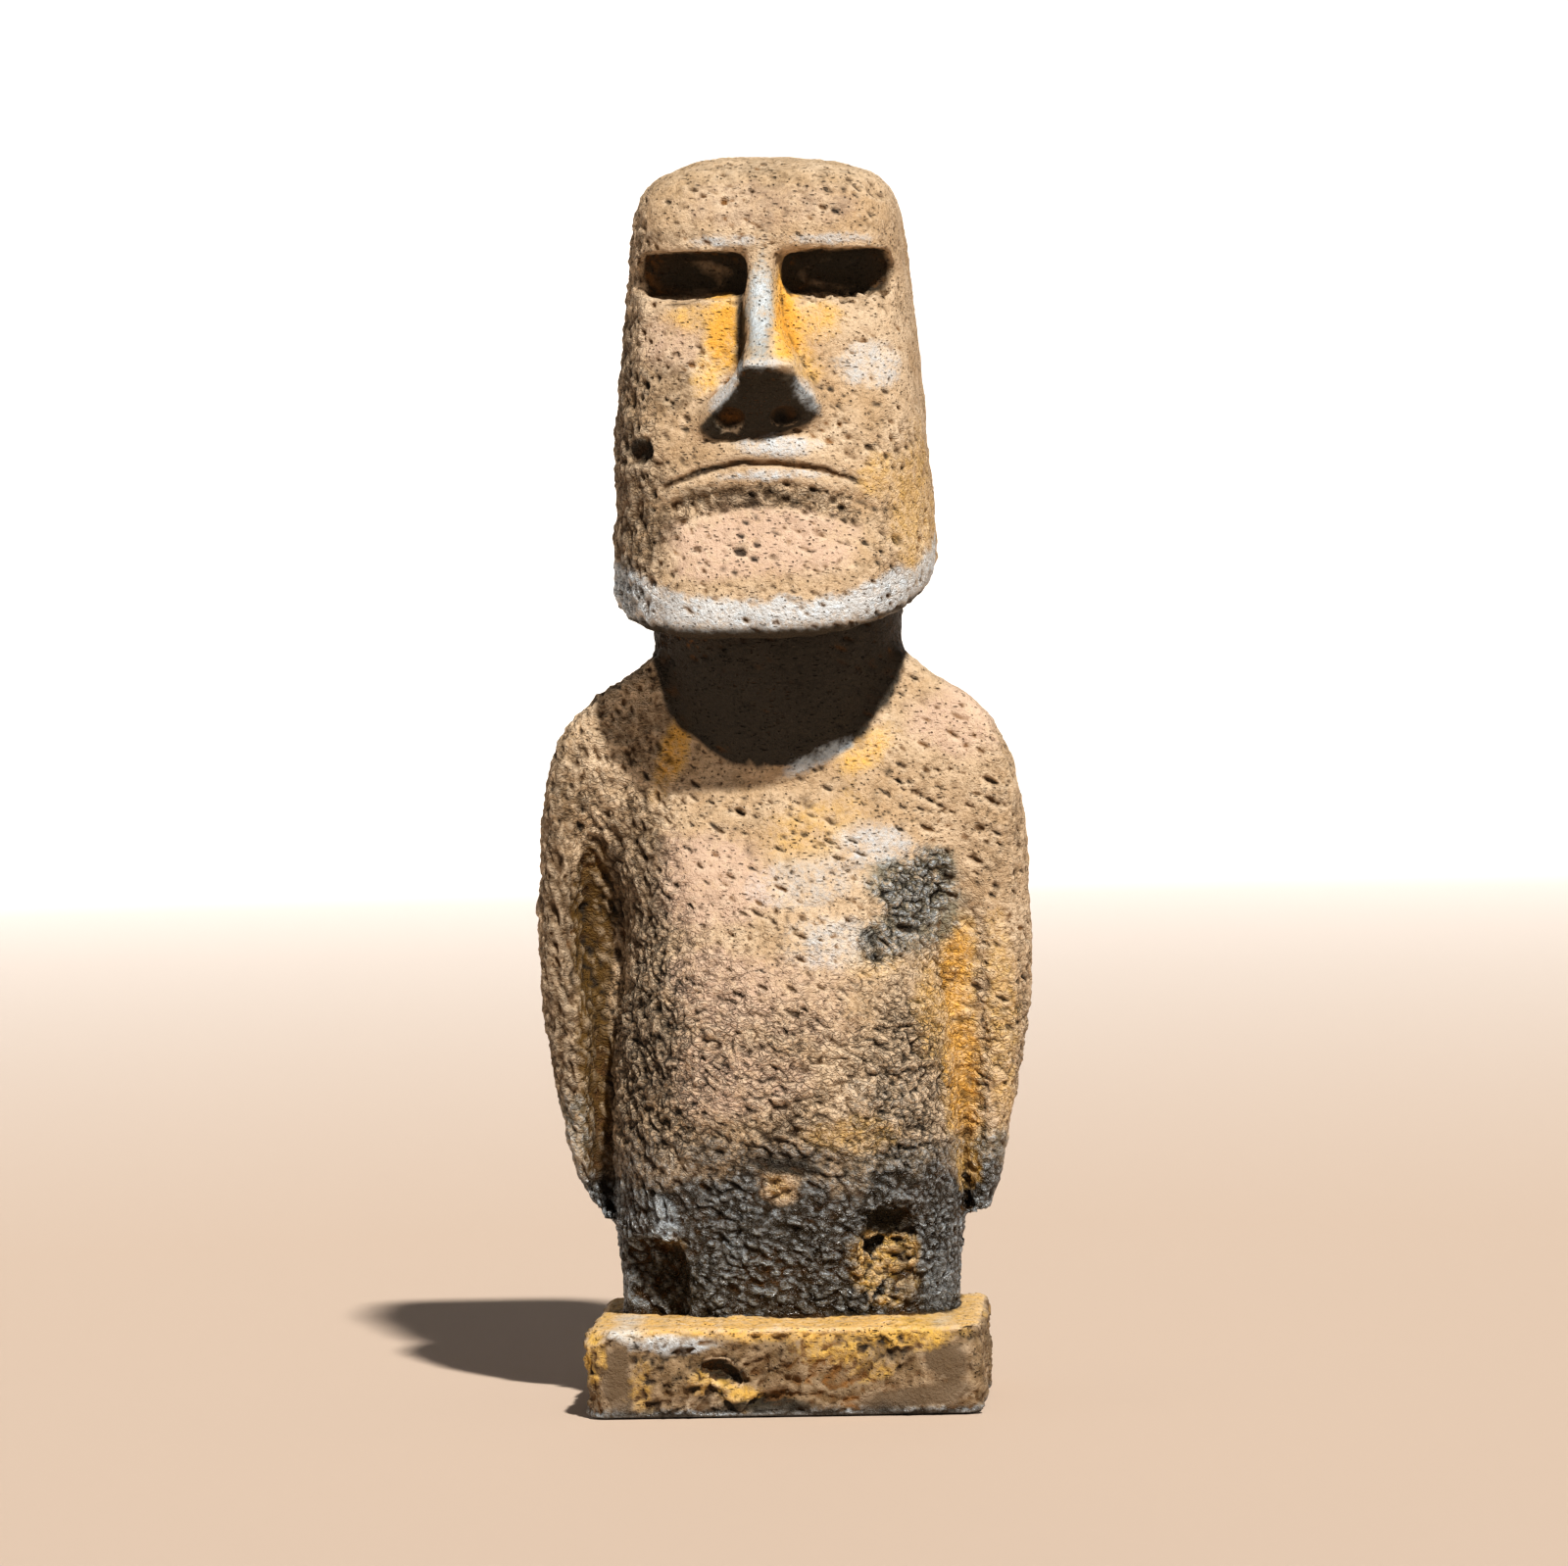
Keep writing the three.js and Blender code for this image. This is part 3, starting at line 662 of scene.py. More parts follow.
class Paint:
    """Works out where each coat of the patina lies, painted shade and painted highlights among them."""

    def __init__(self, relief: Relief, hollow: np.ndarray, wide: np.ndarray) -> None:
        """Keeps what the coats depend on.

        Args:
            relief: The zones of the surface.
            hollow: How far each vertex lies below its close surroundings, in millimetres.
            wide: The same for wider surroundings.
        """
        self.relief, self.hollow, self.wide = relief, hollow, wide

    def coats(self) -> dict[Coat, np.ndarray]:
        """Every coat's strength at each vertex, from 0 to 1."""
        relief, grain = self.relief, self.relief.grain
        x, y, z, points = relief.x, relief.y, relief.z, relief.points
        back = 1 - relief.front
        body = (1 - relief.head) * (1 - relief.plinth)
        cloud = grain.layered(points, 13, 3, 70)
        patch = grain.layered(points, 9, 3, 74)
        made = {coat: np.zeros(len(x)) for coat in Coat}
        made[Coat.PINK] = np.maximum(relief.cover(PINK_SPOTS), 0.6 * back * ramp(cloud, 0.0, 0.6) * body)
        # Umber stain, partly painted shade on the left side and under the lower lip, and umber at random on
        # the back.
        made[Coat.UMBER_AND_SHADE] = np.maximum(relief.cover(UMBER_AND_SHADE_SPOTS), back * 0.55 * ramp(patch, -0.1, 0.6))
        groove = ramp(self.wide, 0.45, 1.1)
        on_top = 0.6 * relief.plinth * ramp(relief.normals[:, 2], 0.6, 0.9)
        behind = back * np.maximum(0.9 * groove, 0.45 * ramp(cloud, -0.1, -0.6))
        made[Coat.OCHRE] = np.maximum(np.maximum(relief.cover(OCHRE_SPOTS), on_top), behind)
        made[Coat.GOLD] = relief.cover(GOLD_SPOTS) * ramp(relief.shard, -0.55, 0.05)
        made[Coat.CLAY] = relief.cover(CLAY_SPOTS)
        # The neck under the jaw: dark bronze paint made as dark as the chin's shade on it, so partly
        # painted shade; the head's down-facing underside gets painted shade.
        reach = 16.4 * np.sqrt(np.clip(1 - ((98.5 - z) / 18.2) ** 2, 0, 1))
        neck = ramp(np.abs(x) + 2 * relief.waver, reach + 0.9, reach - 0.5)
        neck *= ramp(z, NECK_FOOT - 0.4, NECK_FOOT + 0.4) * (1 - relief.head)
        neck = np.where(z > JAW_RIM + 0.5, 1 - relief.head, neck)
        under = relief.head * ramp(z, 104, 102) * ramp(relief.normals[:, 2], -0.35, -0.7)
        made[Coat.BRONZE_AND_SHADE] = np.maximum(neck * np.where(y < 5, 1.0, 0.85), under)
        made[Coat.PEWTER] = relief.cover(PEWTER_SPOTS)
        # Painted shade: dark ochre down the left groove.
        made[Coat.PAINTED_SHADE_OCHRE] = relief.cover(PAINTED_SHADE_OCHRE_SPOTS)
        line = VARNISH_LINE + 2.4 * grain.layered(points, 6, 3, 78)
        varnish = body * (0.4 * ramp(z, line + 4, line) + 0.6 * ramp(z, line, line - 6))
        varnish = np.maximum(varnish, relief.plinth * ramp(z, 1.8, 0.6) * 0.8)
        jagged = 2.2 * relief.waver + 0.35 * relief.shard
        bare = BARE_SPOT.weight(x, z, jagged) * relief.front
        made[Coat.VARNISH] = varnish * (1 - 0.35 * back) * (1 - 0.9 * np.maximum(made[Coat.GOLD], bare))
        rim = JAW_RIM + 3.5 + 2.4 * (np.abs(x) / 17) ** 2.5 + 3 * relief.waver
        jaw = relief.head * ramp(relief.level, rim + 0.8, rim - 0.8) * ramp(y, 6.0, -2.0) * (1 - under)
        made[Coat.SILVER_AND_HIGHLIGHTS] = np.maximum(relief.cover(SILVER_AND_HIGHLIGHT_SPOTS), jaw)
        # Painted shade: dark paint on the down-facing underside of the nose and deep in the eye sockets.
        nose = NOSE_SPOT.weight(x, z, relief.waver) * relief.front
        painted_shade = nose * ramp(-relief.normals[:, 2], 0.08, 0.3) * ramp(y, -17.0, -18.5)
        eyes = (np.abs(np.abs(x) - EYE_SPACING) < 8.5) * ramp(np.abs(z - EYE_HEIGHT), 4.6, 3.4)
        eyes = eyes * ramp(self.wide, 0.08, 0.5) * ramp(y, -21.0, -19.0) * relief.front
        painted_shade = np.maximum(painted_shade, eyes * (0.8 + 0.2 * ramp(z, EYE_HEIGHT - 1.9, EYE_HEIGHT + 1.1)))
        made[Coat.PAINTED_SHADE] = np.maximum(relief.cover(PAINTED_SHADE_SPOTS), painted_shade)
        creased = np.maximum(relief.zones["wrinkle"], 0.5 * relief.zones["rough"])
        made[Coat.CREASED] = creased * (1 - 0.8 * relief.calm)
        # Painted shade on the sunken shards of the plinth's broken faces and painted highlight on the proud
        # ones, carried with the hollows and the ridges.
        sunken = 0.8 * relief.faces * ramp(relief.shard, -0.25, -0.9)
        proud = 0.8 * relief.faces * ramp(relief.shard, 0.2, 0.8)
        made[Coat.HOLLOW] = np.maximum(ramp(self.hollow, 0.015, 0.15), sunken)
        made[Coat.RAISED] = np.maximum(ramp(self.hollow, -0.02, -0.13), proud)
        upright = ramp(np.abs(relief.normals[:, 2]), 0.8, 0.4)
        made[Coat.GRITTY] = relief.plinth * upright * (1 - made[Coat.CLAY])
        return made


class Link:
    """A number that varies over a surface, as one output of a shader node."""

    def __init__(self, tree: bpy.types.NodeTree, socket: bpy.types.NodeSocket) -> None:
        """Keeps the output and its tree."""
        self.tree, self.socket = tree, socket

    def math(self, operation: str, *values: "float | Link", clamp: bool = False) -> "Link":
        """Adds a Math node.

        Args:
            operation: The node's operation.
            values: Its inputs, in order.
            clamp: Whether the result stays from 0 to 1.

        Returns:
            The node's output.
        """
        node = self.tree.nodes.new("ShaderNodeMath")
        node.operation, node.use_clamp = operation, clamp
        for target, value in zip(node.inputs, values):
            if isinstance(value, Link):
                self.tree.links.new(value.socket, target)
            else:
                target.default_value = value
        return Link(self.tree, node.outputs[0])

    def __add__(self, other: "float | Link") -> "Link":
        """Sum."""
        return self.math("ADD", self, other)

    def __radd__(self, other: float) -> "Link":
        """Sum with a number on the left."""
        return self.math("ADD", other, self)

    def __sub__(self, other: "float | Link") -> "Link":
        """Difference."""
        return self.math("SUBTRACT", self, other)

    def __rsub__(self, other: float) -> "Link":
        """Difference with a number on the left."""
        return self.math("SUBTRACT", other, self)

    def __mul__(self, other: "float | Link") -> "Link":
        """Product."""
        return self.math("MULTIPLY", self, other)

    def __rmul__(self, other: float) -> "Link":
        """Product with a number on the left."""
        return self.math("MULTIPLY", other, self)

    def kept(self) -> "Link":
        """The number held from 0 to 1."""
        return self.math("ADD", self, 0.0, clamp=True)

    def most(self, other: "float | Link") -> "Link":
        """The larger of two."""
        return self.math("MAXIMUM", self, other)


class Nodes:
    """A material and the one way that its nodes are added."""

    def __init__(self, name: str) -> None:
        """Makes the material with a bare shader.

        Args:
            name: The material's name.
        """
        self.material = bpy.data.materials.new(name)
        self.material.use_nodes = True
        self.tree = self.material.node_tree
        self.shader = next(n for n in self.tree.nodes if n.type == "BSDF_PRINCIPLED")

    def add(
        self, kind: str, settings: dict | None = None, inputs: dict | None = None, output: str | int = 0
    ) -> Link:
        """Adds one node.

        Args:
            kind: The node's type.
            settings: Its properties, set first.
            inputs: Values or links of its sockets, by name or place.
            output: Which output is given back.

        Returns:
            The output.
        """
        node = self.tree.nodes.new(kind)
        for key, value in (settings or {}).items():
            setattr(node, key, value)
        for key, value in (inputs or {}).items():
            if isinstance(value, Link):
                self.tree.links.new(value.socket, node.inputs[key])
            else:
                node.inputs[key].default_value = value
        return Link(self.tree, node.outputs[output])

    def feed(self, socket: str, value: "Link | float | tuple") -> None:
        """Sets or links a socket of the shader."""
        if isinstance(value, Link):
            self.tree.links.new(value.socket, self.shader.inputs[socket])
        else:
            self.shader.inputs[socket].default_value = value

    def mix(self, under: "Link | tuple", over: "Link | tuple", amount: Link) -> Link:
        """Lays one colour over another.

        Args:
            under: The colour below.
            over: The colour on top.
            amount: How much of it covers.

        Returns:
            The mixed colour.
        """
        return self.add("ShaderNodeMix", {"data_type": "RGBA"}, {0: amount, 6: under, 7: over}, 2)


@dataclass(frozen=True)
class Patina:
    """Colours and gloss of the cast stone and of what is rubbed over it, and of the painted shade,
    highlights and glints.
    """

    tan: tuple[int, int, int] = (192, 163, 128)
    light_tan: tuple[int, int, int] = (232, 212, 186)
    pink: tuple[int, int, int] = (212, 183, 163)
    # Umber, also the colour of the painted shade on the left side and of dark specks.
    umber_and_shade: tuple[int, int, int] = (84, 64, 38)
    ochre: tuple[int, int, int] = (242, 197, 112)
    deep_ochre: tuple[int, int, int] = (238, 170, 30)
    # Dark ochre of the painted shade in the left groove.
    deep: tuple[int, int, int] = (96, 68, 0)
    gold: tuple[int, int, int] = (216, 174, 84)
    clay: tuple[int, int, int] = (98, 80, 58)
    pewter: tuple[int, int, int] = (122, 121, 106)
    # Dark bronze of the neck, as dark as its shade, and of the painted shade under the head.
    bronze_and_shade: tuple[int, int, int] = (38, 33, 21)
    varnish: tuple[int, int, int] = (30, 25, 15)
    # Colour of the painted shade.
    painted_shade: tuple[int, int, int] = (29, 23, 6)
    # Silver of the rub, also the colour of the painted highlights and glints.
    silver_and_highlights: tuple[int, int, int] = (218, 230, 240)
    # Dark wash in pits, also the colour of the painted shade there and of dust specks.
    dark_wash_and_shade: tuple[int, int, int] = (32, 23, 10)
    warm_wash: tuple[int, int, int] = (150, 102, 42)
    grit: tuple[int, int, int] = (112, 90, 60)

    def build(self) -> bpy.types.Material:
        """Makes the material from the coats of the mesh and fine grain of its own."""
        nodes = Nodes("patinated_stone")
        spot = nodes.add("ShaderNodeTexCoord", output="Object")
        place = nodes.add("ShaderNodeVectorMath", {"operation": "SCALE"}, {0: spot, "Scale": 1 / MM})

        def amount(kind: Coat) -> Link:
            """A coat's strength, as the mesh holds it."""
            return nodes.add("ShaderNodeAttribute", {"attribute_name": kind.value}, output="Fac")

        coat = {kind: amount(kind) for kind in Coat}

        def noise(scale: float, detail: float) -> Link:
            """Noise of so many lumps per millimetre, from 0 to 1."""
            values = {"Vector": place, "Scale": scale, "Detail": detail, "Roughness": 0.55}
            return nodes.add("ShaderNodeTexNoise", None, values, "Fac")

        cloud, mottle, speck, dust = noise(0.12, 3), noise(0.55, 4), noise(2.2, 3), noise(7.0, 2)

        def tilted(scale: tuple[float, float, float]) -> Link:
            """Places squeezed along the slant of the gouges."""
            values = {"Vector": place, "Rotation": (0.0, math.radians(28), 0.0), "Scale": scale}
            return nodes.add("ShaderNodeMapping", None, values)

        slanted, leaning = tilted((0.55, 1.4, 1.7)), tilted((0.8, 1.2, 1.3))

        def cell(vector: Link, scale: float) -> Link:
            """Distance to the nearest of so many points per millimetre."""
            return nodes.add("ShaderNodeTexVoronoi", None, {"Vector": vector, "Scale": scale}, "Distance")

        pin = (1.0 - cell(place, 1.5) * 4.0).kept() * (speck * 4.0 - 1.4).kept()
        dash = (1.0 - cell(slanted, 1.05) * 4.4).kept() * (mottle * 4.0 - 1.3).kept()
        values = {"Vector": place, "Scale": 0.7, "Detail": 2.0}
        sway = nodes.add("ShaderNodeTexNoise", None, values, "Color")
        values = {0: sway, 1: (1.6,) * 3, 2: leaning}
        swayed = nodes.add("ShaderNodeVectorMath", {"operation": "MULTIPLY_ADD"}, values)

        def edge(scale: float) -> Link:
            """Distance to the border between two of so many cells per millimetre."""
            values = {"Vector": swayed, "Scale": scale}
            return nodes.add("ShaderNodeTexVoronoi", {"feature": "DISTANCE_TO_EDGE"}, values, "Distance")

        wide_crack = (1.0 - edge(0.85) * 7.0).kept() * (mottle * 4.0 - 1.2).kept()
        thin_crack = (1.0 - edge(1.7) * 6.0).kept() * (speck * 4.0 - 1.6).kept() * 0.8
        crack = wide_crack.most(thin_crack) * coat[Coat.CREASED]
        values = {"Vector": swayed, "Scale": 1.4, "Detail": 3.0}
        flake = nodes.add("ShaderNodeTexNoise", None, values, "Fac")
        open_skin = 1.0 - coat[Coat.CLAY]
        cut = pin.most(dash).most(crack * 0.9) * open_skin
        ragged = (mottle - 0.5) * 1.5 + (speck - 0.5) * 0.8

        def cover(mask: Link, share: float = 1.0) -> Link:
            """A coat's amount with a ragged, airy rim."""
            return ((mask * (1.0 + ragged) + ragged * 0.3) * 1.25 - 0.14).kept() * share

        def firm(mask: Link) -> Link:
            """A coat's amount without gaps inside its rim."""
            return (mask * 1.7 + ragged * 0.25 * (1.0 - mask) - 0.2).kept() * 0.97

        colour = nodes.mix(linear(self.tan), linear(self.light_tan), (cloud * 3.0 - 1.1).kept() * 0.6)
        colour = nodes.mix(colour, linear(self.umber_and_shade), (mottle * 3.4 - 1.6).kept() * 0.3)
        colour = nodes.mix(colour, linear(self.umber_and_shade), (speck * 4.0 - 2.1).kept() * 0.5)
        colour = nodes.mix(colour, linear(self.light_tan), (1.7 - speck * 4.0).kept() * 0.4)
        colour = nodes.mix(colour, linear(self.pink), cover(coat[Coat.PINK], 0.75))
        gritty = coat[Coat.GRITTY] * (0.9 + (mottle - 0.5) * 1.5).kept()
        colour = nodes.mix(colour, linear(self.grit), gritty)
        # Lays the umber stain and the painted shade on the left side and under the lip.
        colour = nodes.mix(colour, linear(self.umber_and_shade), cover(coat[Coat.UMBER_AND_SHADE], 0.8))
        deepness = (coat[Coat.OCHRE] * 1.6 - 0.85 + ragged * 0.4).kept()
        ochre = nodes.mix(linear(self.ochre), linear(self.deep_ochre), deepness)
        colour = nodes.mix(colour, ochre, cover(coat[Coat.OCHRE], 0.85))
        colour = nodes.mix(colour, linear(self.clay), firm(coat[Coat.CLAY]))
        # Lays the dark ochre of the painted shade down the left groove.
        colour = nodes.mix(colour, linear(self.deep), firm(coat[Coat.PAINTED_SHADE_OCHRE]))
        colour = nodes.mix(colour, linear(self.pewter), cover(coat[Coat.PEWTER], 0.85))
        # Lays the dark neck and the painted shade under the head.
        colour = nodes.mix(colour, linear(self.bronze_and_shade), firm(coat[Coat.BRONZE_AND_SHADE]))
        colour = nodes.mix(colour, linear(self.varnish), firm(coat[Coat.VARNISH]))
        colour = nodes.mix(colour, linear(self.gold), cover(coat[Coat.GOLD], 0.92))
        # Lays the painted shade over the sockets, the nose's underside and the hollows.
        colour = nodes.mix(colour, linear(self.painted_shade), firm(coat[Coat.PAINTED_SHADE]))
        # Dark wash in pits and hollows, laid on as painted shade there, together with the cut pits of the
        # fine grain.
        dark_wash_and_shade = (coat[Coat.HOLLOW] * (0.75 + mottle * 0.5)).kept() * (1.0 - coat[Coat.OCHRE] * 0.3)
        warm = ((cloud - 0.42) * 4.0).kept() * (1.0 - coat[Coat.CREASED]) * 0.75
        into = nodes.mix(linear(self.dark_wash_and_shade), linear(self.warm_wash), warm)
        colour = nodes.mix(colour, into, (dark_wash_and_shade * 0.95).most(cut * 0.92))
        # Silver rub with its painted highlights, and painted glints: silver laid on raised specks of the
        # varnish.
        silver_and_glints = cover(coat[Coat.SILVER_AND_HIGHLIGHTS], 0.95) * (0.7 + coat[Coat.RAISED] * 0.3)
        silver_and_glints = silver_and_glints * (1.0 - coat[Coat.HOLLOW]) * (1.0 - cut * 0.8)
        # Painted glints on raised specks of the varnish, and silver rubbed onto the pewter's ridges.
        rubbed = coat[Coat.PEWTER].most(coat[Coat.VARNISH] * 0.8)
        rubbed = rubbed * coat[Coat.RAISED] * (speck * 4.4 - 1.6).kept()
        silver_and_glints = silver_and_glints.most((rubbed * (1.0 - coat[Coat.PAINTED_SHADE])).kept() * 0.8)
        dark = coat[Coat.VARNISH].most(coat[Coat.GRITTY]) * 0.75
        dark = dark.most(coat[Coat.PAINTED_SHADE]).most(coat[Coat.BRONZE_AND_SHADE])
        # Painted highlight: lighter colour on raised ridges and bumps.
        painted_highlights = coat[Coat.RAISED] * (1.0 - silver_and_glints) * (1.0 - dark) * 0.4
        colour = nodes.mix(colour, linear(self.light_tan), painted_highlights)
        colour = nodes.mix(colour, linear(self.silver_and_highlights), silver_and_glints)
        nodes.feed("Base Color", nodes.mix(colour, linear(self.dark_wash_and_shade), ((dust - 0.5) * 1.5).kept() * 0.4))
        nodes.feed("Metallic", silver_and_glints * 0.35)
        gloss = coat[Coat.VARNISH] * 0.56 + silver_and_glints * 0.34 + coat[Coat.PEWTER].most(coat[Coat.BRONZE_AND_SHADE]) * 0.25
        nodes.feed("Roughness", (0.82 - gloss + (speck - 0.5) * 0.3).most(0.2))
        nodes.feed("Specular IOR Level", 0.5)
        height = speck * 0.4 + dust * (0.2 + coat[Coat.VARNISH] * 0.3) + mottle * 0.4 - cut * 1.1
        height = height + flake * coat[Coat.CREASED] * 1.2
        bump = {"Strength": 1.0, "Distance": 0.0006, "Height": height}
        nodes.feed("Normal", nodes.add("ShaderNodeBump", None, bump, "Normal"))
        return nodes.material


@dataclass
class Statue:
    """The figure and its plinth, cast as one."""

    voxel: float = 0.28
    smoothings: int = 2
    most_triangles: int = 197_000
    back_share: float = 0.4
    near_rounds: int = 6
    wide_rounds: int = 70
    seed: int = 11
    patina: Patina = field(default_factory=Patina)

    def copy(self, source: bpy.types.Object) -> bpy.types.Object:
        """Copies the CAD solid and gives the copy an even, dense skin.

        Args:
            source: The CAD node.

        Returns:
            The new piece.
        """
        piece = bpy.data.objects.new("cast_figure", source.data.copy())
        piece.data.materials.clear()
        bpy.context.scene.collection.objects.link(piece)
        bpy.ops.object.select_all(action="DESELECT")
        piece.select_set(True)
        bpy.context.view_layer.objects.active = piece
        bpy.ops.object.mode_set(mode="EDIT")
        bpy.ops.mesh.select_all(action="SELECT")
        bpy.ops.mesh.remove_doubles(threshold=0.00001)
        bpy.ops.object.mode_set(mode="OBJECT")
        remesh = piece.modifiers.new("skin", "REMESH")
        remesh.mode, remesh.voxel_size = "VOXEL", self.voxel * MM
        smooth = piece.modifiers.new("soften", "SMOOTH")
        smooth.factor, smooth.iterations = 0.5, self.smoothings
        for name in ("skin", "soften"):
            bpy.ops.object.modifier_apply(modifier=name)
        return piece

    @staticmethod
    def read(mesh: bpy.types.Mesh) -> tuple[np.ndarray, np.ndarray]:
        """Vertices in millimetres and their normals."""
        points = np.zeros(len(mesh.vertices) * 3)
        mesh.vertices.foreach_get("co", points)
        normals = np.zeros(len(mesh.vertices) * 3)
        mesh.vertex_normals.foreach_get("vector", normals)
        return points.reshape(-1, 3) / MM, normals.reshape(-1, 3)

    @staticmethod
    def below(mesh: bpy.types.Mesh, points: np.ndarray, normals: np.ndarray, rounds: int) -> np.ndarray:
        """How far each vertex lies below its surroundings.

        Args:
            mesh: The mesh, for its edges.
            points: Its vertices in millimetres.
            normals: Their normals.
            rounds: How far the surroundings reach, in steps from vertex to vertex.

        Returns:
            Millimetres, above 0 in a hollow.
        """
        edges = np.zeros(len(mesh.edges) * 2, np.int64)
        mesh.edges.foreach_get("vertices", edges)
        start, end = edges.reshape(-1, 2).T
        count = np.bincount(start, minlength=len(points)) + np.bincount(end, minlength=len(points))
        level = points.copy()
        for _ in range(rounds):
            for axis in range(3):
                column = level[:, axis]
                total = np.bincount(start, column[end], len(points))
                total += np.bincount(end, column[start], len(points))
                level[:, axis] = total / np.maximum(count, 1)
        return ((level - points) * normals).sum(1)

    def evened(self, mesh: bpy.types.Mesh) -> tuple[np.ndarray, np.ndarray]:
        """Levels the fine steps of the skin, and leaves its true edges.

        Args:
            mesh: The mesh, which is changed.

        Returns:
            Its vertices in millimetres and their normals.
        """
        for rounds in (10, 6):
            points, normals = self.read(mesh)
            step = self.below(mesh, points, normals, rounds)
            points += normals * (step * ramp(np.abs(step), 0.2, 0.07))[:, None]
            mesh.vertices.foreach_set("co", (points * MM).ravel())
            mesh.update()
        return self.read(mesh)

    def thin(self, piece: bpy.types.Object, triangles: int, relief: Relief) -> None:
        """Takes triangles out, first of the back and the underside, then everywhere.

        Args:
            piece: The piece.
            triangles: How many it has.
            relief: Where its front is.
        """
        plain = np.maximum(1 - relief.front, ramp(-relief.normals[:, 2], 0.7, 0.9)) > 0.5
        group = piece.vertex_groups.new(name="plainer")
        group.add(np.flatnonzero(plain).tolist(), 1.0, "REPLACE")
        share = plain.mean()
        kept = 1 - share * (1 - self.back_share)
        passes = (("back", kept, "plainer"), ("whole", self.most_triangles / (triangles * kept), ""))
        for name, ratio, which in passes:
            if ratio < 1:
                thin = piece.modifiers.new(name, "DECIMATE")
                thin.ratio, thin.vertex_group, thin.vertex_group_factor = ratio, which, 0.0
                bpy.ops.object.modifier_apply(modifier=name)
                LOG.info("%s: %d triangles left", name, len(piece.data.polygons))

    def build(self) -> bpy.types.Object:
        """Makes the finished piece, hangs it under the root and hides the CAD node."""
        piece = self.copy(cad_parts["moai_statue"])
        mesh = piece.data
        points, normals = self.evened(mesh)
        relief = Relief(points, normals, Grain(self.seed))
        wide = self.below(mesh, points, normals, self.wide_rounds)
        moved = points + normals * relief.height()[:, None]
        low, high = (np.array(corner) / MM for corner in CAD_BOX)
        moved = np.clip(moved, low, high)
        mesh.vertices.foreach_set("co", (moved * MM).ravel())
        mesh.update()
        moved, new_normals = self.read(mesh)
        near = self.below(mesh, moved, new_normals, self.near_rounds)
        for coat, amount in Paint(relief, near, wide).coats().items():
            layer = mesh.attributes.new(coat.value, "FLOAT", "POINT")
            layer.data.foreach_set("value", np.clip(amount, 0, 1).astype(np.float32))
        triangles = sum(len(p.vertices) - 2 for p in mesh.polygons)
        LOG.info("skin of %d triangles", triangles)
        self.thin(piece, triangles, relief)
        bpy.ops.object.shade_smooth()
        mesh.materials.append(self.patina.build())
        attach(piece, "root")
        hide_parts("moai_statue")
        return piece


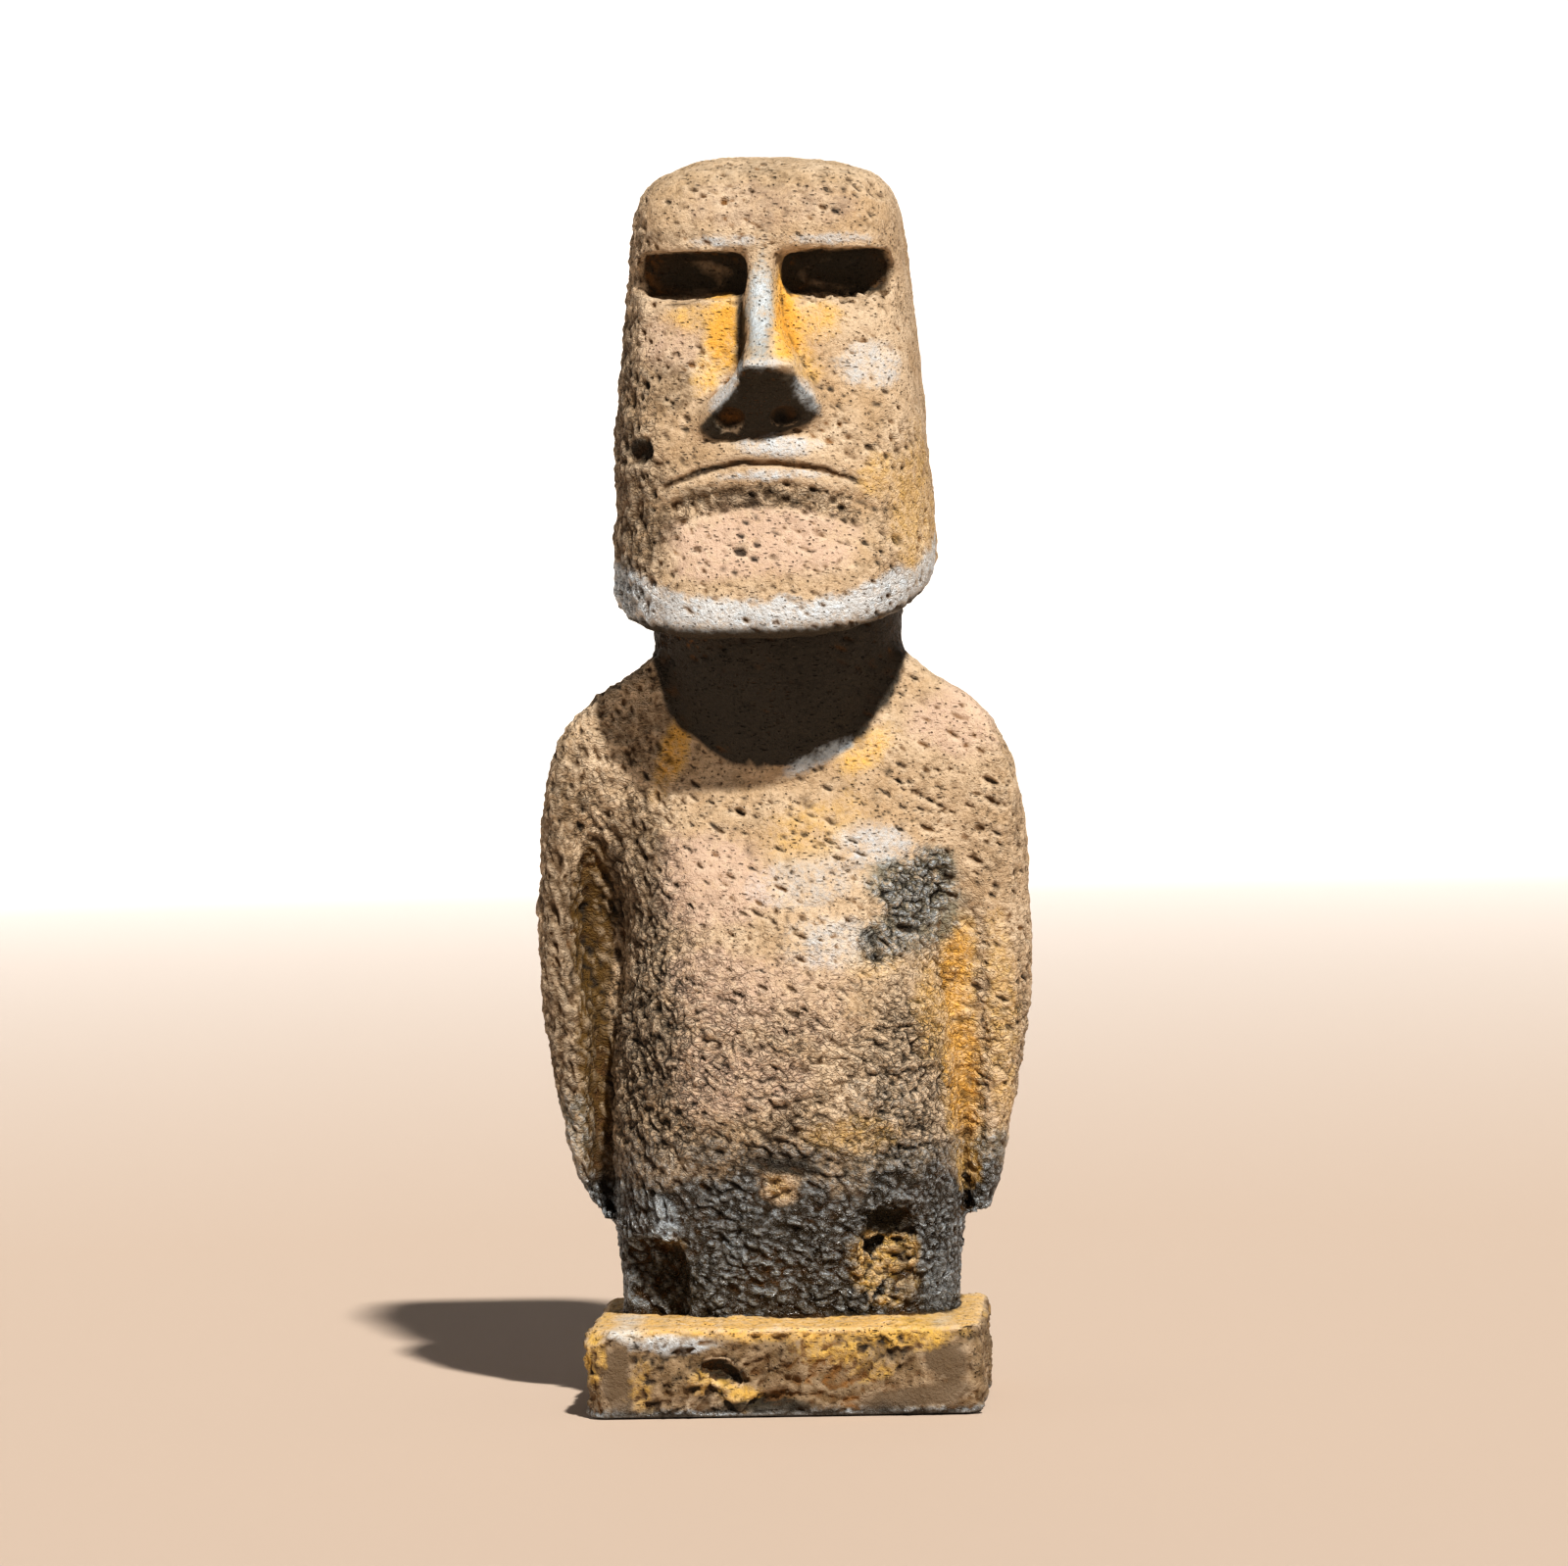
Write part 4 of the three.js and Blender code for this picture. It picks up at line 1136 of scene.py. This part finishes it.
@dataclass
class Studio:
    """Pale floor with a round pale wall, soft key from the front right, and the camera."""

    floor_reach: float = 1.75
    cove: float = 0.3
    wall: float = 0.75
    lens: float = 164.2
    azimuth: float = 3.0
    aim: float = -0.033
    distance: float = 0.909
    height: float = 0.1024
    pitch: float = -1.51
    roll: float = -1.21
    key_azimuth: float = 20.0
    key_height: float = 49.5
    key_power: float = 4.1
    key_size: float = 2.5
    sky: float = 0.06

    def surface(self) -> bpy.types.Material:
        """Matte pale paint, warmer on the floor than on the wall, which glows a little."""
        nodes = Nodes("studio_paint")
        spot = nodes.add("ShaderNodeTexCoord", output="Object")
        far = nodes.add("ShaderNodeVectorMath", {"operation": "LENGTH"}, {0: spot}, "Value")
        share = ((far - 0.25) * 0.8).kept()
        nodes.feed("Base Color", nodes.mix(linear((203, 184, 168)), linear((214, 208, 204)), share))
        glow = nodes.mix((0.0, 0.0, 0.0, 1.0), (1.0, 0.99, 0.97, 1.0), ((far - 1.5) * 4.0).kept())
        nodes.feed("Emission Color", glow)
        nodes.feed("Emission Strength", 0.25)
        nodes.feed("Roughness", 0.85)
        nodes.feed("Specular IOR Level", 0.2)
        return nodes.material

    def room(self) -> bpy.types.Object:
        """Spins the floor and wall from their outline."""
        bends = [math.radians(90 * k / 8) for k in range(9)]
        outline = [(0.0, 0.0)] + [
            (self.floor_reach + self.cove * math.sin(a), self.cove * (1 - math.cos(a))) for a in bends
        ]
        outline.append((self.floor_reach + self.cove, self.wall))
        mesh = bpy.data.meshes.new("studio_room")
        edges = [(k, k + 1) for k in range(len(outline) - 1)]
        mesh.from_pydata([(r, 0.0, z) for r, z in outline], edges, [])
        room = bpy.data.objects.new("studio_room", mesh)
        bpy.context.scene.collection.objects.link(room)
        screw = room.modifiers.new("spin", "SCREW")
        screw.steps = screw.render_steps = 64
        screw.use_merge_vertices = True
        screw.use_normal_flip = True
        bpy.ops.object.select_all(action="DESELECT")
        room.select_set(True)
        bpy.context.view_layer.objects.active = room
        bpy.ops.object.modifier_apply(modifier="spin")
        bpy.ops.object.shade_smooth_by_angle(angle=math.radians(40))
        room.data.materials.append(self.surface())
        return room

    def light(self) -> None:
        """Hangs the key light and sets the sky."""
        turn, rise = math.radians(self.azimuth + self.key_azimuth), math.radians(self.key_height)
        away = Vector((math.sin(turn) * math.cos(rise), -math.cos(turn) * math.cos(rise), math.sin(rise)))
        lamp = bpy.data.lights.new("key", "SUN")
        lamp.energy, lamp.angle, lamp.color = self.key_power, math.radians(self.key_size), (1.0, 0.96, 0.90)
        key = bpy.data.objects.new("key", lamp)
        key.rotation_euler = away.to_track_quat("Z", "Y").to_euler()
        bpy.context.scene.collection.objects.link(key)
        world = bpy.data.worlds.new("sky")
        world.use_nodes = True
        background = next(n for n in world.node_tree.nodes if n.type == "BACKGROUND")
        background.inputs[0].default_value = (0.93, 0.96, 1.0, 1.0)
        background.inputs[1].default_value = self.sky
        bpy.context.scene.world = world

    def camera(self) -> None:
        """Stands the camera where the photograph was taken from."""
        turn = math.radians(self.azimuth)
        lens = bpy.data.cameras.new("camera")
        lens.sensor_width, lens.lens = 36.0, self.lens
        lens.clip_start, lens.clip_end = 0.01, 50.0
        camera = bpy.data.objects.new("camera", lens)
        across, ahead = math.sin(turn) * self.distance, -math.cos(turn) * self.distance
        aim = Matrix.Rotation(turn + math.radians(self.aim), 4, "Z")
        aim = aim @ Matrix.Rotation(math.radians(90 + self.pitch), 4, "X")
        aim = aim @ Matrix.Rotation(math.radians(self.roll), 4, "Z")
        camera.matrix_world = Matrix.Translation((across, ahead, self.height)) @ aim
        bpy.context.scene.collection.objects.link(camera)
        bpy.context.scene.camera = camera

    def build(self) -> None:
        """Sets up the whole studio."""
        self.room()
        self.light()
        self.camera()
        bpy.context.scene.view_settings.view_transform = "Standard"
        bpy.context.scene.view_settings.look = "Medium High Contrast"


def main() -> None:
    """Builds the statue and the studio in order."""
    logging.basicConfig(level=logging.INFO, format="%(name)s: %(message)s")
    statue = Statue().build()
    LOG.info("%s: %d triangles", statue.name, len(statue.data.loop_triangles) or len(statue.data.polygons))
    Studio().build()
    LOG.info("studio is ready")


if __name__ == "__main__":
    main()
